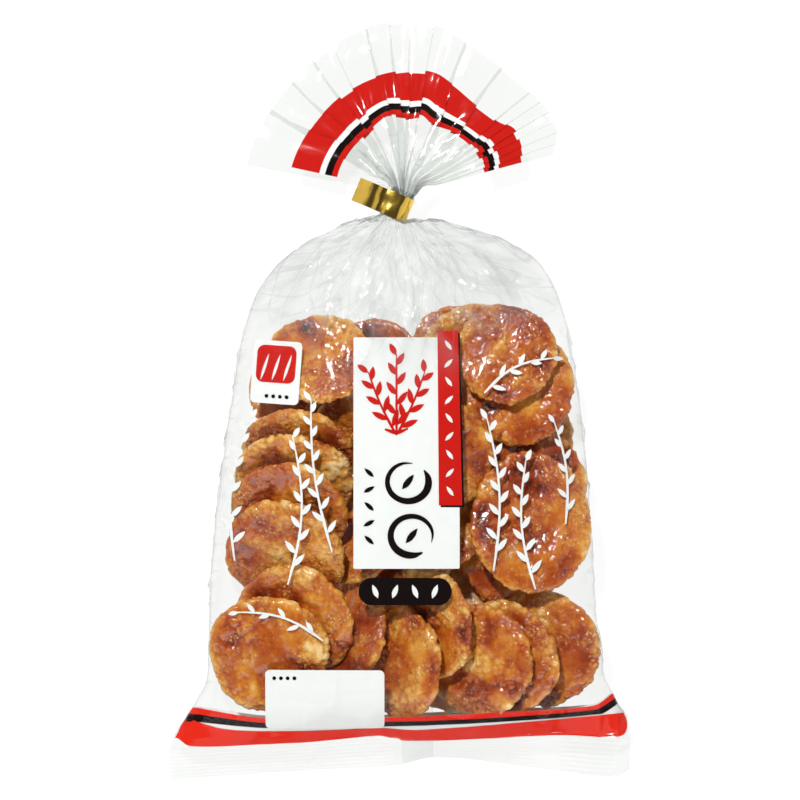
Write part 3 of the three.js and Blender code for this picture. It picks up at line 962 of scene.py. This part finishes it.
def rounded_box(box, radius, depth, turn=0):
    """A rounded rectangle printed on the front film, as a grid with its corners drawn in."""
    left, foot, right, top = box
    half = np.array([(right - left) / 2, (top - foot) / 2])
    middle = np.array([(left + right) / 2, (foot + top) / 2])
    counts = [max(int(size * 2 / PRINT_SPACING), 8) for size in half]
    b, a = np.meshgrid(*(np.linspace(-1, 1, count) for count in counts[::-1]), indexing="ij")
    x, y = a * half[0], b * half[1]
    corner_x = np.maximum(np.abs(x) - (half[0] - radius), 0)
    corner_y = np.maximum(np.abs(y) - (half[1] - radius), 0)
    reach = np.maximum(np.hypot(corner_x, corner_y), 1e-9)
    outermost = np.maximum(corner_x, corner_y)
    pull = np.where(reach > 0, outermost / reach, 1)
    x = np.sign(x) * (np.minimum(np.abs(x), half[0] - radius) + corner_x * pull)
    y = np.sign(y) * (np.minimum(np.abs(y), half[1] - radius) + corner_y * pull)
    c, s = math.cos(turn), math.sin(turn)
    places = np.stack([middle[0] + c * x - s * y, middle[1] + s * x + c * y], -1)
    return sheet_solid(on_film(places, depth))


def stroke(path, widths, depth):
    """A brush stroke through places across and up the bag, with a width at each of them."""
    path, widths = np.asarray(path, float), np.asarray(widths, float)
    steps = np.concatenate([[0], np.cumsum(np.linalg.norm(np.diff(path, axis=0), axis=1))])
    at = np.linspace(0, steps[-1], max(int(steps[-1] / STROKE_SPACING), 4) + 1)
    middle = np.stack([through(np.stack([steps, path[:, i]], -1), at) for i in (0, 1)], -1)
    wide = np.maximum(through(np.stack([steps, widths], -1), at), 0.05)
    along = np.gradient(middle, axis=0)
    along /= np.linalg.norm(along, axis=1, keepdims=True)
    aside = np.stack([along[:, 1], -along[:, 0]], -1)
    shares = np.array([-0.5, 0, 0.5])
    places = middle[:, None] + aside[:, None] * (wide[:, None] * shares)[..., None]
    return sheet_solid(on_film(places, depth))


def disc(middle, radius, depth):
    """A printed disc."""
    turns = np.linspace(0, 2 * math.pi, max(int(radius * 7), 10) + 1)
    reaches = np.linspace(0.02, radius, max(int(radius / PRINT_SPACING), 1) + 1)
    r, t = np.meshgrid(reaches, turns, indexing="ij")
    places = np.stack([middle[0] + r * np.sin(t), middle[1] + r * np.cos(t)], -1)
    return sheet_solid(on_film(places, depth)[::-1])


def grain(middle, turn, length, width, depth):
    """A grain of rice: a short stroke that is pointed at both ends."""
    way = np.array([math.cos(turn), math.sin(turn)])
    path = [np.array(middle) + way * length * share for share in (-0.5, -0.2, 0.2, 0.5)]
    return stroke(path, (0.1, width, width * 0.9, 0.1), depth)


Ear = namedtuple("Ear", "foot tip bend grains size")

# Ears of rice, brushed in white over the crackers: foot and tip across and up the bag, and how far the
# stem bends to the right of the straight way.
WHITE_EARS = [
    Ear((-71, 96), (-64, 158), -5, 11, 1), Ear((-48, 86), (-46, 150), 5, 11, 1),
    Ear((-29, 100), (-38, 166), -3, 12, 0.95), Ear((-33, 62), (-70, 74), 4, 6, 0.85),
    Ear((40, 92), (37, 158), 4, 12, 1), Ear((58, 84), (54, 140), -4, 11, 1),
    Ear((71, 112), (66, 156), 3, 8, 0.85), Ear((36, 168), (66, 183), -4, 7, 0.9),
]


def ear_strokes(ear, depth):
    foot, tip = np.array(ear.foot, float), np.array(ear.tip, float)
    way = (tip - foot) / np.linalg.norm(tip - foot)
    aside = np.array([way[1], -way[0]])
    stem = [foot + (tip - foot) * s + aside * ear.bend * math.sin(math.pi * s) for s in np.linspace(0, 1, 7)]
    strokes = [stroke(stem, [0.6, 1.2, 1.0, 0.9, 0.9, 0.8, 0.4], depth)]
    heading = math.atan2(way[1], way[0])
    for i in range(ear.grains):
        share = 0.12 + 0.86 * i / (ear.grains - 1)
        middle = foot + (tip - foot) * share + aside * ear.bend * math.sin(math.pi * share)
        side = 1 if i % 2 else -1
        turn = heading + side * (0.75 - 0.25 * share)
        length = (7.4 - 2.2 * share) * ear.size
        way_out = np.array([math.cos(turn), math.sin(turn)])
        strokes.append(grain(middle + way_out * length * 0.55, turn, length, 2.1 * ear.size, depth))
    return strokes


def leaning_strip(depth, shift=0):
    """The leaning strip down the panel's right side, shifted to the right and towards the bag's foot."""
    rows = np.linspace(0, 1, 84)
    left = RED_STRIP[0][1] + (RED_STRIP[0][0] - RED_STRIP[0][1]) * rows
    right = RED_STRIP[1][1] + (RED_STRIP[1][0] - RED_STRIP[1][1]) * rows
    up = RED_STRIP_FOOT + (RED_STRIP_TOP - RED_STRIP_FOOT) * rows - shift
    shares = np.linspace(0, 1, 11)
    x = left[:, None] + (right - left)[:, None] * shares + shift
    return sheet_solid(on_film(np.stack([x, np.broadcast_to(up[:, None], x.shape)], -1), depth))


def red_motifs(depth):
    """A sheaf of three ears, tied, at the top of the panel."""
    strokes = []
    for lean, size in ((-0.42, 0.9), (0.0, 1.05), (0.42, 0.9)):
        foot = np.array(SHEAF_FOOT, float)
        tip = foot + np.array([math.sin(lean), math.cos(lean)]) * SHEAF_LENGTH * size
        strokes += ear_strokes(Ear(foot, tip, 2 * lean, 8, 1.1), depth)
    strokes.append(stroke([(-6.5, 152.5), (-1.5, 151.2), (3.5, 152.8)], (0.8, 1.8, 0.6), depth))
    return strokes


def black_motifs(depth):
    """Two brushed rings on the panel, with a column of grains to their left, and dots on the labels."""
    parts = []
    for middle, radius, start in RINGS:
        turns = start + np.linspace(0, 5.6, 13)
        path = [(middle[0] + radius * math.sin(t), middle[1] + radius * 0.93 * math.cos(t)) for t in turns]
        parts.append(stroke(path, RING_WIDTHS, depth))
        parts.append(grain(middle, 0.9, 8, 2.4, depth))
    for i in range(5):
        parts.append(grain((-13.2, 134 - 7.2 * i), 0.5 if i % 2 else 2.4, 5.4, 1.7, depth))
    for i in range(4):
        parts.append(disc((-54 + 2.9 * i, 45.6), 0.85, INK_OVER - INK_THICKNESS))
        parts.append(disc((-57.2 + 2.9 * i, 166.8 - 0.2 * i), 0.85, depth))
    return parts


def white_motifs(depth):
    parts = [s for ear in WHITE_EARS for s in ear_strokes(ear, depth)]
    for i in range(9):
        up = 188.5 - 7.8 * i
        parts.append(grain((20.6 + 0.012 * (190 - up), up), 0.8 if i % 2 else 2.2, 5.0, 1.5, depth))
    for i in range(4):
        parts.append(grain((-10.6 + 8.5 * i, 83.2), 1.2 if i % 2 else 1.95, 6.2, 2.0, depth))
    for i in range(3):
        parts.append(grain((-58.0 + 4.9 * i, 179.4 - 0.35 * i), 1.25, 11.5, 1.1, depth))
    return parts


def make_prints(pack):
    materials = {colour: printed_ink(colour, pack) for colour in ("red", "white", "black")}
    badge_half = np.array(BADGE_SIZE) / 2
    badge = (*(BADGE_MIDDLE - badge_half), *(BADGE_MIDDLE + badge_half))
    mark = (badge[0] + 2, badge[1] + 9, badge[2] - 2, badge[3] - 2)
    top, middle, low = INK_DEPTHS
    panel, label = rounded_box(PANEL, 0.4, low), rounded_box(LABEL, 2, INK_OVER)
    shadow = leaning_strip((low + middle) / 2, 0.8)
    parts = [
        ("print_white_grounds", "white", [panel, label, rounded_box(badge, 2, low, BADGE_TURN)]),
        ("print_black_fields", "black", [rounded_box(PILL, 5.6, low), shadow]),
        ("print_red_fields", "red", [leaning_strip(middle), rounded_box(mark, 3.2, middle, BADGE_TURN)]),
        ("print_red_motifs", "red", red_motifs(middle)),
        ("print_black_motifs", "black", black_motifs(middle)),
        ("print_white_motifs", "white", white_motifs(top)),
    ]
    for name, colour, solids in parts:
        add_piece(name, *joined(solids), materials[colour], f"print_{colour}")


# ---- The back seam and the foil band ----------------------------------------------------------------

SEAM_LEFT = 1.0
SEAM_GATHER = 4.5, 6  # how far its left and right edges are drawn in towards the neck
FOIL_THICKNESS = 0.25  # drawn coarse: real foil is far thinner


def make_back_seam(pack):
    """The lap where the film's two sides are welded together, down the middle of the back."""
    grid = back_film()[: SEAL_ROWS + int(BODY_ROWS * 0.8)]
    shares = np.linspace(0, 1, 11)
    rows = []
    for row in grid:
        order = np.argsort(row[:, 0])
        narrowing = float(smoothstep(row[:, 1].mean(), 160, 205))
        left = SEAM_LEFT + SEAM_GATHER[0] * narrowing
        right = SEAM_LEFT + pack.seam_width / MM - SEAM_GATHER[1] * narrowing
        x = left + (right - left) * shares
        up, high = (np.interp(x, row[order, 0], row[order, i]) for i in (1, 2))
        rows.append(np.stack([x, up, high + 0.13], -1))
    add_piece("back_seam", *sheet_solid(np.array(rows), 0.08), clear_film(pack), "film")


def make_band(pack):
    """The foil band: a loop round the neck, and its two ends stuck together as a tail on the left."""
    tail = np.linspace(-BAND_TAIL, -1.5, 26)
    wave = 0.75 * np.sin((tail + BAND_TAIL) * 0.46 - 1.2) * smoothstep(-tail, 1, 8)
    wave = wave - 0.9 * smoothstep(-tail, 9, 20)
    middle = BAND_INNER + BAND_THICKNESS / 2
    turns = np.linspace(0, 2 * math.pi, 72)[:-1]
    top_path = [(x, middle + w) for x, w in zip(tail, wave)]
    loop = [(middle * math.sin(t), middle * math.cos(t)) for t in turns]
    back = [(x, middle - BAND_THICKNESS - 0.05 + w) for x, w in zip(tail, wave)]
    widths = np.linspace(-BAND_WIDTH / 2, BAND_WIDTH / 2, 9)
    solids = []
    for path in (np.array(top_path + loop[:-14]), np.array(back)):
        along = np.gradient(path, axis=0)
        along /= np.linalg.norm(along, axis=1, keepdims=True)
        origin = np.array([NECK_ACROSS, NECK_UP, NECK_HIGH])
        grid = []
        for x, z in path:
            places = np.stack([np.full(9, x), widths, np.full(9, z)], -1)
            high = z + pack.foil_crumple / MM * noise(places, 3.1, 31)
            grid.append(origin + x * NECK_SIDE + widths[:, None] * NECK_AXIS + high[:, None] * [0, 0, 1])
        solids.append(sheet_solid(np.array(grid).transpose(1, 0, 2), FOIL_THICKNESS))
    piece = add_piece("foil_band", *joined(solids), gold_foil(pack), "gold_foil")
    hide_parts("band")


# ---- Materials --------------------------------------------------------------------------------------


def add_node(tree, kind, inputs=(), stops=(), **settings):
    """Adds a shader node with its settings, and gives each input a value or links it to an output."""
    made = tree.nodes.new("ShaderNode" + kind)
    for name, value in settings.items():
        setattr(made, name, value)
    for name, value in dict(inputs).items():
        if isinstance(value, bpy.types.NodeSocket):
            tree.links.new(value, made.inputs[name])
        else:
            made.inputs[name].default_value = value
    for place, colour in stops:
        found = [e for e in made.color_ramp.elements if abs(e.position - place) < 1e-6]
        element = found[0] if found else made.color_ramp.elements.new(place)
        element.color = colour
    return made


def new_material(name):
    """The material of this name with no nodes but its output, made if there is none yet."""
    material = bpy.data.materials.get(name) or bpy.data.materials.new(name)
    material.use_nodes = True
    tree = material.node_tree
    tree.nodes.clear()
    return material, tree, add_node(tree, "OutputMaterial")


def per_mm(size):
    """A texture's scale for a pattern that repeats about every size millimetres."""
    return 1 / (size * MM)


def glazed_cracker(crackers):
    """Rice cracker, toasted and brushed with soy: glaze pools dark and wet in its hollows, and the blistered
    crests that it runs off stay golden and drier."""
    material, tree, output = new_material("rice_cracker_soy_glazed")
    toast = add_node(tree, "Attribute", attribute_name="toast").outputs["Fac"]
    place = add_node(tree, "TexCoord").outputs["Object"]
    mottle = add_node(tree, "TexNoise", {"Vector": place, "Scale": per_mm(2.0), "Detail": 5.0,
                                         "Roughness": 0.68})
    shift = add_node(tree, "MapRange", {"Value": mottle.outputs["Fac"], "From Min": 0.25, "From Max": 0.75,
                                        "To Min": -0.13, "To Max": 0.13})
    level = add_node(tree, "Math", {0: toast, 1: shift.outputs["Result"]}, operation="ADD").outputs[0]
    stops = [(0, crackers.burnt), (0.16, crackers.dark), (0.33, crackers.glaze), (0.5, crackers.crust),
             (0.68, crackers.golden), (0.85, crackers.pale), (1, crackers.crest)]
    colour = add_node(tree, "ValToRGB", {"Fac": level}, stops)
    blistered = add_node(tree, "Attribute", attribute_name="blistered").outputs["Fac"]
    grains = add_node(tree, "TexVoronoi", {"Vector": place, "Scale": per_mm(1.8), "Randomness": 1.0})
    dots = add_node(tree, "MapRange", {"Value": grains.outputs["Distance"], "From Min": 0.14,
                                       "From Max": 0.42, "To Min": 1.0, "To Max": 0.0}).outputs["Result"]
    clusters = add_node(tree, "TexNoise", {"Vector": place, "Scale": per_mm(7), "Detail": 2.0})
    among = add_node(tree, "MapRange", {"Value": clusters.outputs["Fac"], "From Min": 0.47, "From Max": 0.57,
                                        "To Min": 0.0, "To Max": 0.9}).outputs["Result"]
    speckled = add_node(tree, "Math", {0: dots, 1: among}, operation="MULTIPLY").outputs[0]
    dotted = add_node(tree, "Math", {0: speckled, 1: blistered}, operation="MULTIPLY").outputs[0]
    speckles = add_node(tree, "Mix", {0: dotted, 6: colour.outputs["Color"], 7: crackers.speckle},
                        data_type="RGBA")
    rough = add_node(tree, "MapRange", {"Value": level, "From Min": 0.15, "From Max": 0.9,
                                        "To Min": 0.2, "To Max": 0.42})
    pits = add_node(tree, "TexNoise", {"Vector": place, "Scale": per_mm(0.9), "Detail": 3.0,
                                       "Roughness": 0.6})
    lumps = add_node(tree, "TexVoronoi", {"Vector": place, "Scale": per_mm(1.4), "Randomness": 1.0},
                     feature="SMOOTH_F1")
    height = add_node(tree, "Math", {0: lumps.outputs["Distance"], 1: -0.9, 2: pits.outputs["Fac"]},
                      operation="MULTIPLY_ADD").outputs[0]
    height = add_node(tree, "Math", {0: speckled, 1: 0.7, 2: height}, operation="MULTIPLY_ADD").outputs[0]
    bump = add_node(tree, "Bump", {"Height": height, "Strength": blistered, "Distance": 0.62 * MM})
    coat_bump = add_node(tree, "Bump", {"Height": height, "Strength": blistered, "Distance": 0.12 * MM})
    shader = add_node(tree, "BsdfPrincipled", {
        "Base Color": speckles.outputs[2], "Roughness": rough.outputs["Result"],
        "Normal": bump.outputs["Normal"], "Coat Normal": coat_bump.outputs["Normal"],
        "Coat Weight": 0.8, "Coat Roughness": 0.11, "Coat IOR": 1.5,
        "Specular IOR Level": 0.25,
    })
    tree.links.new(shader.outputs["BSDF"], output.inputs["Surface"])
    return material


def clear_film(pack):
    """Polypropylene film, cast and stretched: nearly invisible face on, with sharp lights along its creases.
    A grey diffuse share in it gives a faint milky haze and is painted shade where it turns away, along its
    sharp folds, and in streaks and thin lines where it is creased."""
    material, tree, output = new_material("polypropylene_film_stretched")
    across, along, creased = (
        add_node(tree, "Attribute", attribute_name=name).outputs["Fac"]
        for name in ("gather_across", "gather_along", "creased")
    )
    squeezed = add_node(tree, "Math", {0: along, 1: 0.12}, operation="MULTIPLY").outputs[0]
    gather = add_node(tree, "CombineXYZ", {"X": across, "Y": squeezed}).outputs[0]
    streaks = add_node(tree, "TexNoise", {"Vector": gather, "Scale": per_mm(2.6), "Detail": 3.0,
                                          "Roughness": 0.5, "Distortion": 0.2})
    # Two families of thin slanting lines over the creased film, drawn as painted shade of creases.
    lines = []
    for slant in (0.19, -0.19):
        leant = add_node(tree, "Math", {0: along, 1: slant, 2: across}, operation="MULTIPLY_ADD").outputs[0]
        course = add_node(tree, "CombineXYZ", {"X": leant, "Y": squeezed, "Z": slant * MM * 90}).outputs[0]
        bands = add_node(tree, "TexNoise", {"Vector": course, "Scale": per_mm(6), "Detail": 1.0})
        middling = add_node(tree, "Math", {0: bands.outputs["Fac"], 1: 0.5}, operation="SUBTRACT").outputs[0]
        near_line = add_node(tree, "Math", {0: middling}, operation="ABSOLUTE").outputs[0]
        fade = add_node(tree, "MapRange", {"Value": near_line, "From Min": 0.003, "From Max": 0.02,
                                           "To Min": 0.15, "To Max": 0.0})
        lines.append(fade.outputs["Result"])
    line = add_node(tree, "Math", {0: lines[0], 1: lines[1]}, operation="MAXIMUM").outputs[0]
    place = add_node(tree, "TexCoord").outputs["Object"]
    crinkle = add_node(tree, "TexNoise", {"Vector": place, "Scale": per_mm(9), "Detail": 3.0,
                                          "Distortion": 0.4}, noise_type="RIDGED_MULTIFRACTAL")
    slight = add_node(tree, "Bump", {"Height": crinkle.outputs["Fac"], "Strength": 0.26,
                                     "Distance": 0.5 * MM})
    bump = add_node(tree, "Bump", {"Height": streaks.outputs["Fac"], "Strength": creased,
                                   "Distance": 2.2 * MM, "Normal": slight.outputs["Normal"]})
    facing = add_node(tree, "LayerWeight", {"Blend": 0.5, "Normal": bump.outputs["Normal"]}).outputs["Facing"]
    steep = add_node(tree, "Math", {0: facing, 1: 5.0}, operation="POWER").outputs[0]
    share = add_node(tree, "MapRange", {"Value": steep, "To Min": 0.012, "To Max": 0.85}).outputs["Result"]
    clear = add_node(tree, "BsdfTransparent", {"Color": linear("#fafbfa")})
    gloss = add_node(tree, "BsdfAnisotropic", {"Color": linear("#ffffff"), "Roughness": 0.08,
                                               "Normal": bump.outputs["Normal"]})
    skin = add_node(tree, "MixShader", {0: share, 1: clear.outputs[0], 2: gloss.outputs[0]})
    # A grey diffuse film: a faint milky haze, and the painted shade of folds, creases and edges turned away.
    milky_grey_shade = add_node(tree, "BsdfDiffuse", {"Color": pack.fold, "Normal": bump.outputs["Normal"]})
    folded = add_node(tree, "Attribute", attribute_name="folded").outputs["Fac"]
    # How much of that grey: painted shade in streaks and thin lines where the film is creased, at edges that
    # turn away, and along sharp folds.
    streak_shade = add_node(tree, "MapRange", {"Value": streaks.outputs["Fac"], "From Min": 0.54,
                                           "From Max": 0.63, "To Min": 0.015, "To Max": 0.11})
    drawn = add_node(tree, "Math", {0: streak_shade.outputs["Result"], 1: line}, operation="ADD").outputs[0]
    gathered = add_node(tree, "Math", {0: creased, 1: drawn}, operation="MULTIPLY").outputs[0]
    edge_and_crease_shade = add_node(tree, "Math", {0: steep, 1: 0.4, 2: gathered}, operation="MULTIPLY_ADD").outputs[0]
    haze_and_shade = add_node(tree, "Math", {0: folded, 1: 0.18, 2: edge_and_crease_shade}, operation="MULTIPLY_ADD").outputs[0]
    mixed = add_node(tree, "MixShader", {0: haze_and_shade, 1: skin.outputs[0], 2: milky_grey_shade.outputs[0]})
    tree.links.new(mixed.outputs[0], output.inputs["Surface"])
    return material


def printed_ink(name, pack):
    """Gravure ink on the inside of the film: flat and even, with a faint mottle. Its gloss is the film's."""
    material, tree, output = new_material("gravure_ink_" + name)
    colour = getattr(pack, name)
    place = add_node(tree, "TexCoord").outputs["Object"]
    mottle = add_node(tree, "TexNoise", {"Vector": place, "Scale": per_mm(5), "Detail": 4.0})
    deep = [channel * 0.93 for channel in colour[:3]] + [1]
    mixed = add_node(tree, "Mix", {0: mottle.outputs["Fac"], 6: colour, 7: deep}, data_type="RGBA")
    shader = add_node(tree, "BsdfPrincipled", {"Base Color": mixed.outputs[2], "Roughness": 0.4,
                                              "Specular IOR Level": 0.0})
    tree.links.new(shader.outputs["BSDF"], output.inputs["Surface"])
    return material


def gold_foil(pack):
    """Aluminium foil, lacquered gold and rolled bright: it mirrors the room in dark and pale gold streaks."""
    material, tree, output = new_material("aluminium_foil_gold_lacquered")
    place = add_node(tree, "TexCoord").outputs["Object"]
    waves = add_node(tree, "TexNoise", {"Vector": place, "Scale": per_mm(6), "Detail": 2.0})
    bump = add_node(tree, "Bump", {"Height": waves.outputs["Fac"], "Strength": 0.3, "Distance": 0.4 * MM})
    shader = add_node(tree, "BsdfPrincipled", {
        "Base Color": pack.foil, "Metallic": 1.0, "Roughness": 0.14, "Normal": bump.outputs["Normal"],
    })
    tree.links.new(shader.outputs["BSDF"], output.inputs["Surface"])
    return material


# ---- The stage --------------------------------------------------------------------------------------


CAMERA_LENS, CAMERA_SENSOR = 200, 36
VIEW_WIDTH, VIEW_HIGH = 345.6, 20  # how much of the table the camera takes in, at a height above it
TOP_SHARE, FOOT_SHARE = 0.5, 4.4  # the end softboxes' power over that of the ones at the sides


def make_stage(stage):
    scene = bpy.context.scene
    scene.view_settings.view_transform = "Standard"
    scene.cycles.transparent_max_bounces = 32

    mesh = bpy.data.meshes.new("floor")
    mesh.from_pydata([(-3, -3, 0), (3, -3, 0), (3, 3, 0), (-3, 3, 0)], [], [(0, 1, 2, 3)])
    floor = bpy.data.objects.new("floor", mesh)
    scene.collection.objects.link(floor)
    material, tree, output = new_material("opal_acrylic_light_table")
    shader = add_node(tree, "BsdfPrincipled", {
        "Base Color": (0.08, 0.08, 0.08, 1), "Roughness": 0.9, "Emission Color": (1, 1, 1, 1),
        "Emission Strength": stage.floor_glow,
    })
    tree.links.new(shader.outputs["BSDF"], output.inputs["Surface"])
    mesh.materials.append(material)

    world = bpy.data.worlds.new("studio")
    world.use_nodes = True
    tree = world.node_tree
    height = add_node(tree, "SeparateXYZ", {0: add_node(tree, "TexCoord").outputs["Generated"]}).outputs["Z"]
    strength = add_node(tree, "MapRange", {"Value": height, "From Min": 0.45, "From Max": 0.95,
                                           "To Min": 0.3, "To Max": 0.07}, interpolation_type="SMOOTHSTEP")
    tree.links.new(strength.outputs["Result"], tree.nodes["Background"].inputs["Strength"])
    tree.nodes["Background"].inputs["Color"].default_value = (1, 1, 1, 1)
    scene.world = world

    for name, place, size, watts in (
        ("key_lamp", (-0.25, 0.6, 1.3), (0.08, 0.08), stage.key_power),
        ("left_softbox", (-1.3, 0.4, 1.0), (1.6, 1.6), stage.softbox_power),
        ("fill_softbox", (1.3, -0.3, 0.9), (1.6, 1.6), stage.softbox_power),
        ("top_softbox", (0.3, 1.35, 0.7), (1.6, 0.6), stage.softbox_power * TOP_SHARE),
        ("foot_softbox", (0, -1.6, 0.7), (2.4, 1.2), stage.softbox_power * FOOT_SHARE),
    ):
        light = bpy.data.lights.new(name, "AREA")
        light.shape = "RECTANGLE"
        light.size, light.size_y = size
        light.energy = watts
        lamp = bpy.data.objects.new(name, light)
        lamp.location = place
        lamp.rotation_euler = Vector(place).to_track_quat("Z", "Y").to_euler()
        scene.collection.objects.link(lamp)

    camera = bpy.data.objects.new("camera", bpy.data.cameras.new("camera"))
    camera.data.lens = CAMERA_LENS
    camera.data.clip_end = 20
    camera.location = (0, MM, (VIEW_HIGH + CAMERA_LENS / CAMERA_SENSOR * VIEW_WIDTH) * MM)
    scene.collection.objects.link(camera)
    scene.camera = camera


# ---- The add-on -------------------------------------------------------------------------------------


def size_setting(name, size, description):
    """A length that a user can change, given in millimetres and kept in metres."""
    return bpy.props.FloatProperty(name=name, description=description, default=size * MM, min=0,
                                   unit="LENGTH", precision=5)


def colour_setting(name, hex_colour, description):
    return bpy.props.FloatVectorProperty(name=name, description=description, default=linear(hex_colour),
                                         size=4, min=0, max=1, subtype="COLOR")


def power_setting(name, watts, description):
    return bpy.props.FloatProperty(name=name, description=description, default=watts, min=0, unit="POWER")


class CRACKERBAG_PG_crackers(bpy.types.PropertyGroup):
    """The crackers' thickness, relief and colours"""

    core: size_setting("Core", 4.2, "Thickness of a cracker before its swells and blisters")
    relief: bpy.props.FloatProperty(name="Relief", description="Share of the full height of the blisters",
                                    default=1, min=0, max=1.2, subtype="FACTOR")
    burnt: colour_setting("Burnt", "#4a1307", "Soy glaze where it pooled deepest and scorched")
    dark: colour_setting("Dark", "#79290e", "Soy glaze in the hollows")
    glaze: colour_setting("Glaze", "#9e4114", "Soy glaze on the slopes")
    crust: colour_setting("Crust", "#b65c18", "Toasted crust between hollows and blisters")
    golden: colour_setting("Golden", "#cb8128", "Crust on the low blisters")
    pale: colour_setting("Pale", "#dfa44c", "Crust on the high blisters")
    crest: colour_setting("Crest", "#f1cb8b", "The driest rice on the highest blisters and the rim")
    speckle: colour_setting("Speckle", "#ebb368", "Grains of rice that the glaze ran off, in clusters")


class CRACKERBAG_PG_pack(bpy.types.PropertyGroup):
    """The sizes and colours of the film, its inks and the foil"""

    seam_width: size_setting("Seam width", 13.5, "Width of the welded lap down the back")
    foil_crumple: size_setting("Foil crumple", 0.12, "How far the foil band is dented")
    # Grey of the film's haze. It paints shade along the film's folds and creases and where it turns away.
    fold: colour_setting("Film fold shade", "#a9aeac", "Grey of the film's haze, painted as shade along folds")
    red: colour_setting("Red ink", "#c41e18", "Ink of the fan's stripes, the leaning strip and the sheaf")
    # The red ink again, painted brighter for the foot's stripes: painted light.
    red_over_white: colour_setting("Red over white", "#e22b1b", "The red ink of the foot, over the white one")
    white: colour_setting("White ink", "#e9eae9", "Ink of the panel, the label and the ears on the crackers")
    black: colour_setting("Black ink", "#171010", "Ink of the thin stripes, the pill and the rings")
    foil: colour_setting("Foil", "#f0c75a", "Gold lacquer over the aluminium")


class CRACKERBAG_PG_stage(bpy.types.PropertyGroup):
    """The light on the bag"""

    key_power: power_setting("Key lamp", 18.5, "The small lamp that sets glints on glaze and film")
    softbox_power: power_setting("Softboxes", 4.5, "The large soft light on each side")
    floor_glow: bpy.props.FloatProperty(name="Floor glow", description="Light that the table gives of itself",
                                        default=0.93, min=0, max=2)


class CRACKERBAG_OT_crackers(bpy.types.Operator):
    """Make the settled pile of crackers"""

    bl_idname = "cracker_bag.crackers"
    bl_label = "Crackers"

    def execute(self, context):
        make_crackers(context.scene.cracker_bag_crackers)
        return {"FINISHED"}


class CRACKERBAG_OT_film(bpy.types.Operator):
    """Make the film from the bottom seal to the neck"""

    bl_idname = "cracker_bag.film"
    bl_label = "Film"

    def execute(self, context):
        make_film(context.scene.cracker_bag_pack)
        return {"FINISHED"}


class CRACKERBAG_OT_fan(bpy.types.Operator):
    """Make the pleated fan of film above the band"""

    bl_idname = "cracker_bag.fan"
    bl_label = "Fan"

    def execute(self, context):
        make_fan(context.scene.cracker_bag_pack)
        return {"FINISHED"}


class CRACKERBAG_OT_stripes(bpy.types.Operator):
    """Print the stripes round the bag's foot and across the fan"""

    bl_idname = "cracker_bag.stripes"
    bl_label = "Stripes"

    def execute(self, context):
        make_stripes(context.scene.cracker_bag_pack)
        return {"FINISHED"}


class CRACKERBAG_OT_prints(bpy.types.Operator):
    """Print the panel, the strip, the pill, the labels and the ears of rice"""

    bl_idname = "cracker_bag.prints"
    bl_label = "Prints"

    def execute(self, context):
        make_prints(context.scene.cracker_bag_pack)
        return {"FINISHED"}


class CRACKERBAG_OT_back_seam(bpy.types.Operator):
    """Make the welded lap down the middle of the back"""

    bl_idname = "cracker_bag.back_seam"
    bl_label = "Back Seam"

    def execute(self, context):
        make_back_seam(context.scene.cracker_bag_pack)
        return {"FINISHED"}


class CRACKERBAG_OT_band(bpy.types.Operator):
    """Make the gold foil band round the neck"""

    bl_idname = "cracker_bag.band"
    bl_label = "Foil Band"

    def execute(self, context):
        make_band(context.scene.cracker_bag_pack)
        return {"FINISHED"}


class CRACKERBAG_OT_stage(bpy.types.Operator):
    """Make the light table, the lamps and the camera"""

    bl_idname = "cracker_bag.stage"
    bl_label = "Stage"

    def execute(self, context):
        make_stage(context.scene.cracker_bag_stage)
        return {"FINISHED"}


SETTINGS = {
    "cracker_bag_crackers": CRACKERBAG_PG_crackers,
    "cracker_bag_pack": CRACKERBAG_PG_pack,
    "cracker_bag_stage": CRACKERBAG_PG_stage,
}
OPERATORS = (
    CRACKERBAG_OT_crackers, CRACKERBAG_OT_film, CRACKERBAG_OT_fan, CRACKERBAG_OT_stripes,
    CRACKERBAG_OT_prints, CRACKERBAG_OT_back_seam, CRACKERBAG_OT_band, CRACKERBAG_OT_stage,
)


class CRACKERBAG_PT_sidebar(bpy.types.Panel):
    """The settings of the bag, and a button for each of its parts"""

    bl_label = "Cracker Bag"
    bl_space_type = "VIEW_3D"
    bl_region_type = "UI"
    bl_category = "Cracker Bag"

    def draw(self, context):
        for pointer, group in SETTINGS.items():
            box = self.layout.box()
            for name in group.__annotations__:
                box.prop(getattr(context.scene, pointer), name)
        for operator in OPERATORS:
            self.layout.operator(operator.bl_idname)


def register():
    for made in (*SETTINGS.values(), *OPERATORS, CRACKERBAG_PT_sidebar):
        bpy.utils.register_class(made)
    for pointer, group in SETTINGS.items():
        setattr(bpy.types.Scene, pointer, bpy.props.PointerProperty(type=group))


def unregister():
    for pointer in SETTINGS:
        delattr(bpy.types.Scene, pointer)
    for made in (CRACKERBAG_PT_sidebar, *OPERATORS[::-1], *SETTINGS.values()):
        bpy.utils.unregister_class(made)


def main():
    register()
    bpy.ops.cracker_bag.crackers()
    bpy.ops.cracker_bag.film()
    bpy.ops.cracker_bag.fan()
    bpy.ops.cracker_bag.stripes()
    bpy.ops.cracker_bag.prints()
    bpy.ops.cracker_bag.back_seam()
    bpy.ops.cracker_bag.band()
    bpy.ops.cracker_bag.stage()


if __name__ == "__main__":
    main()
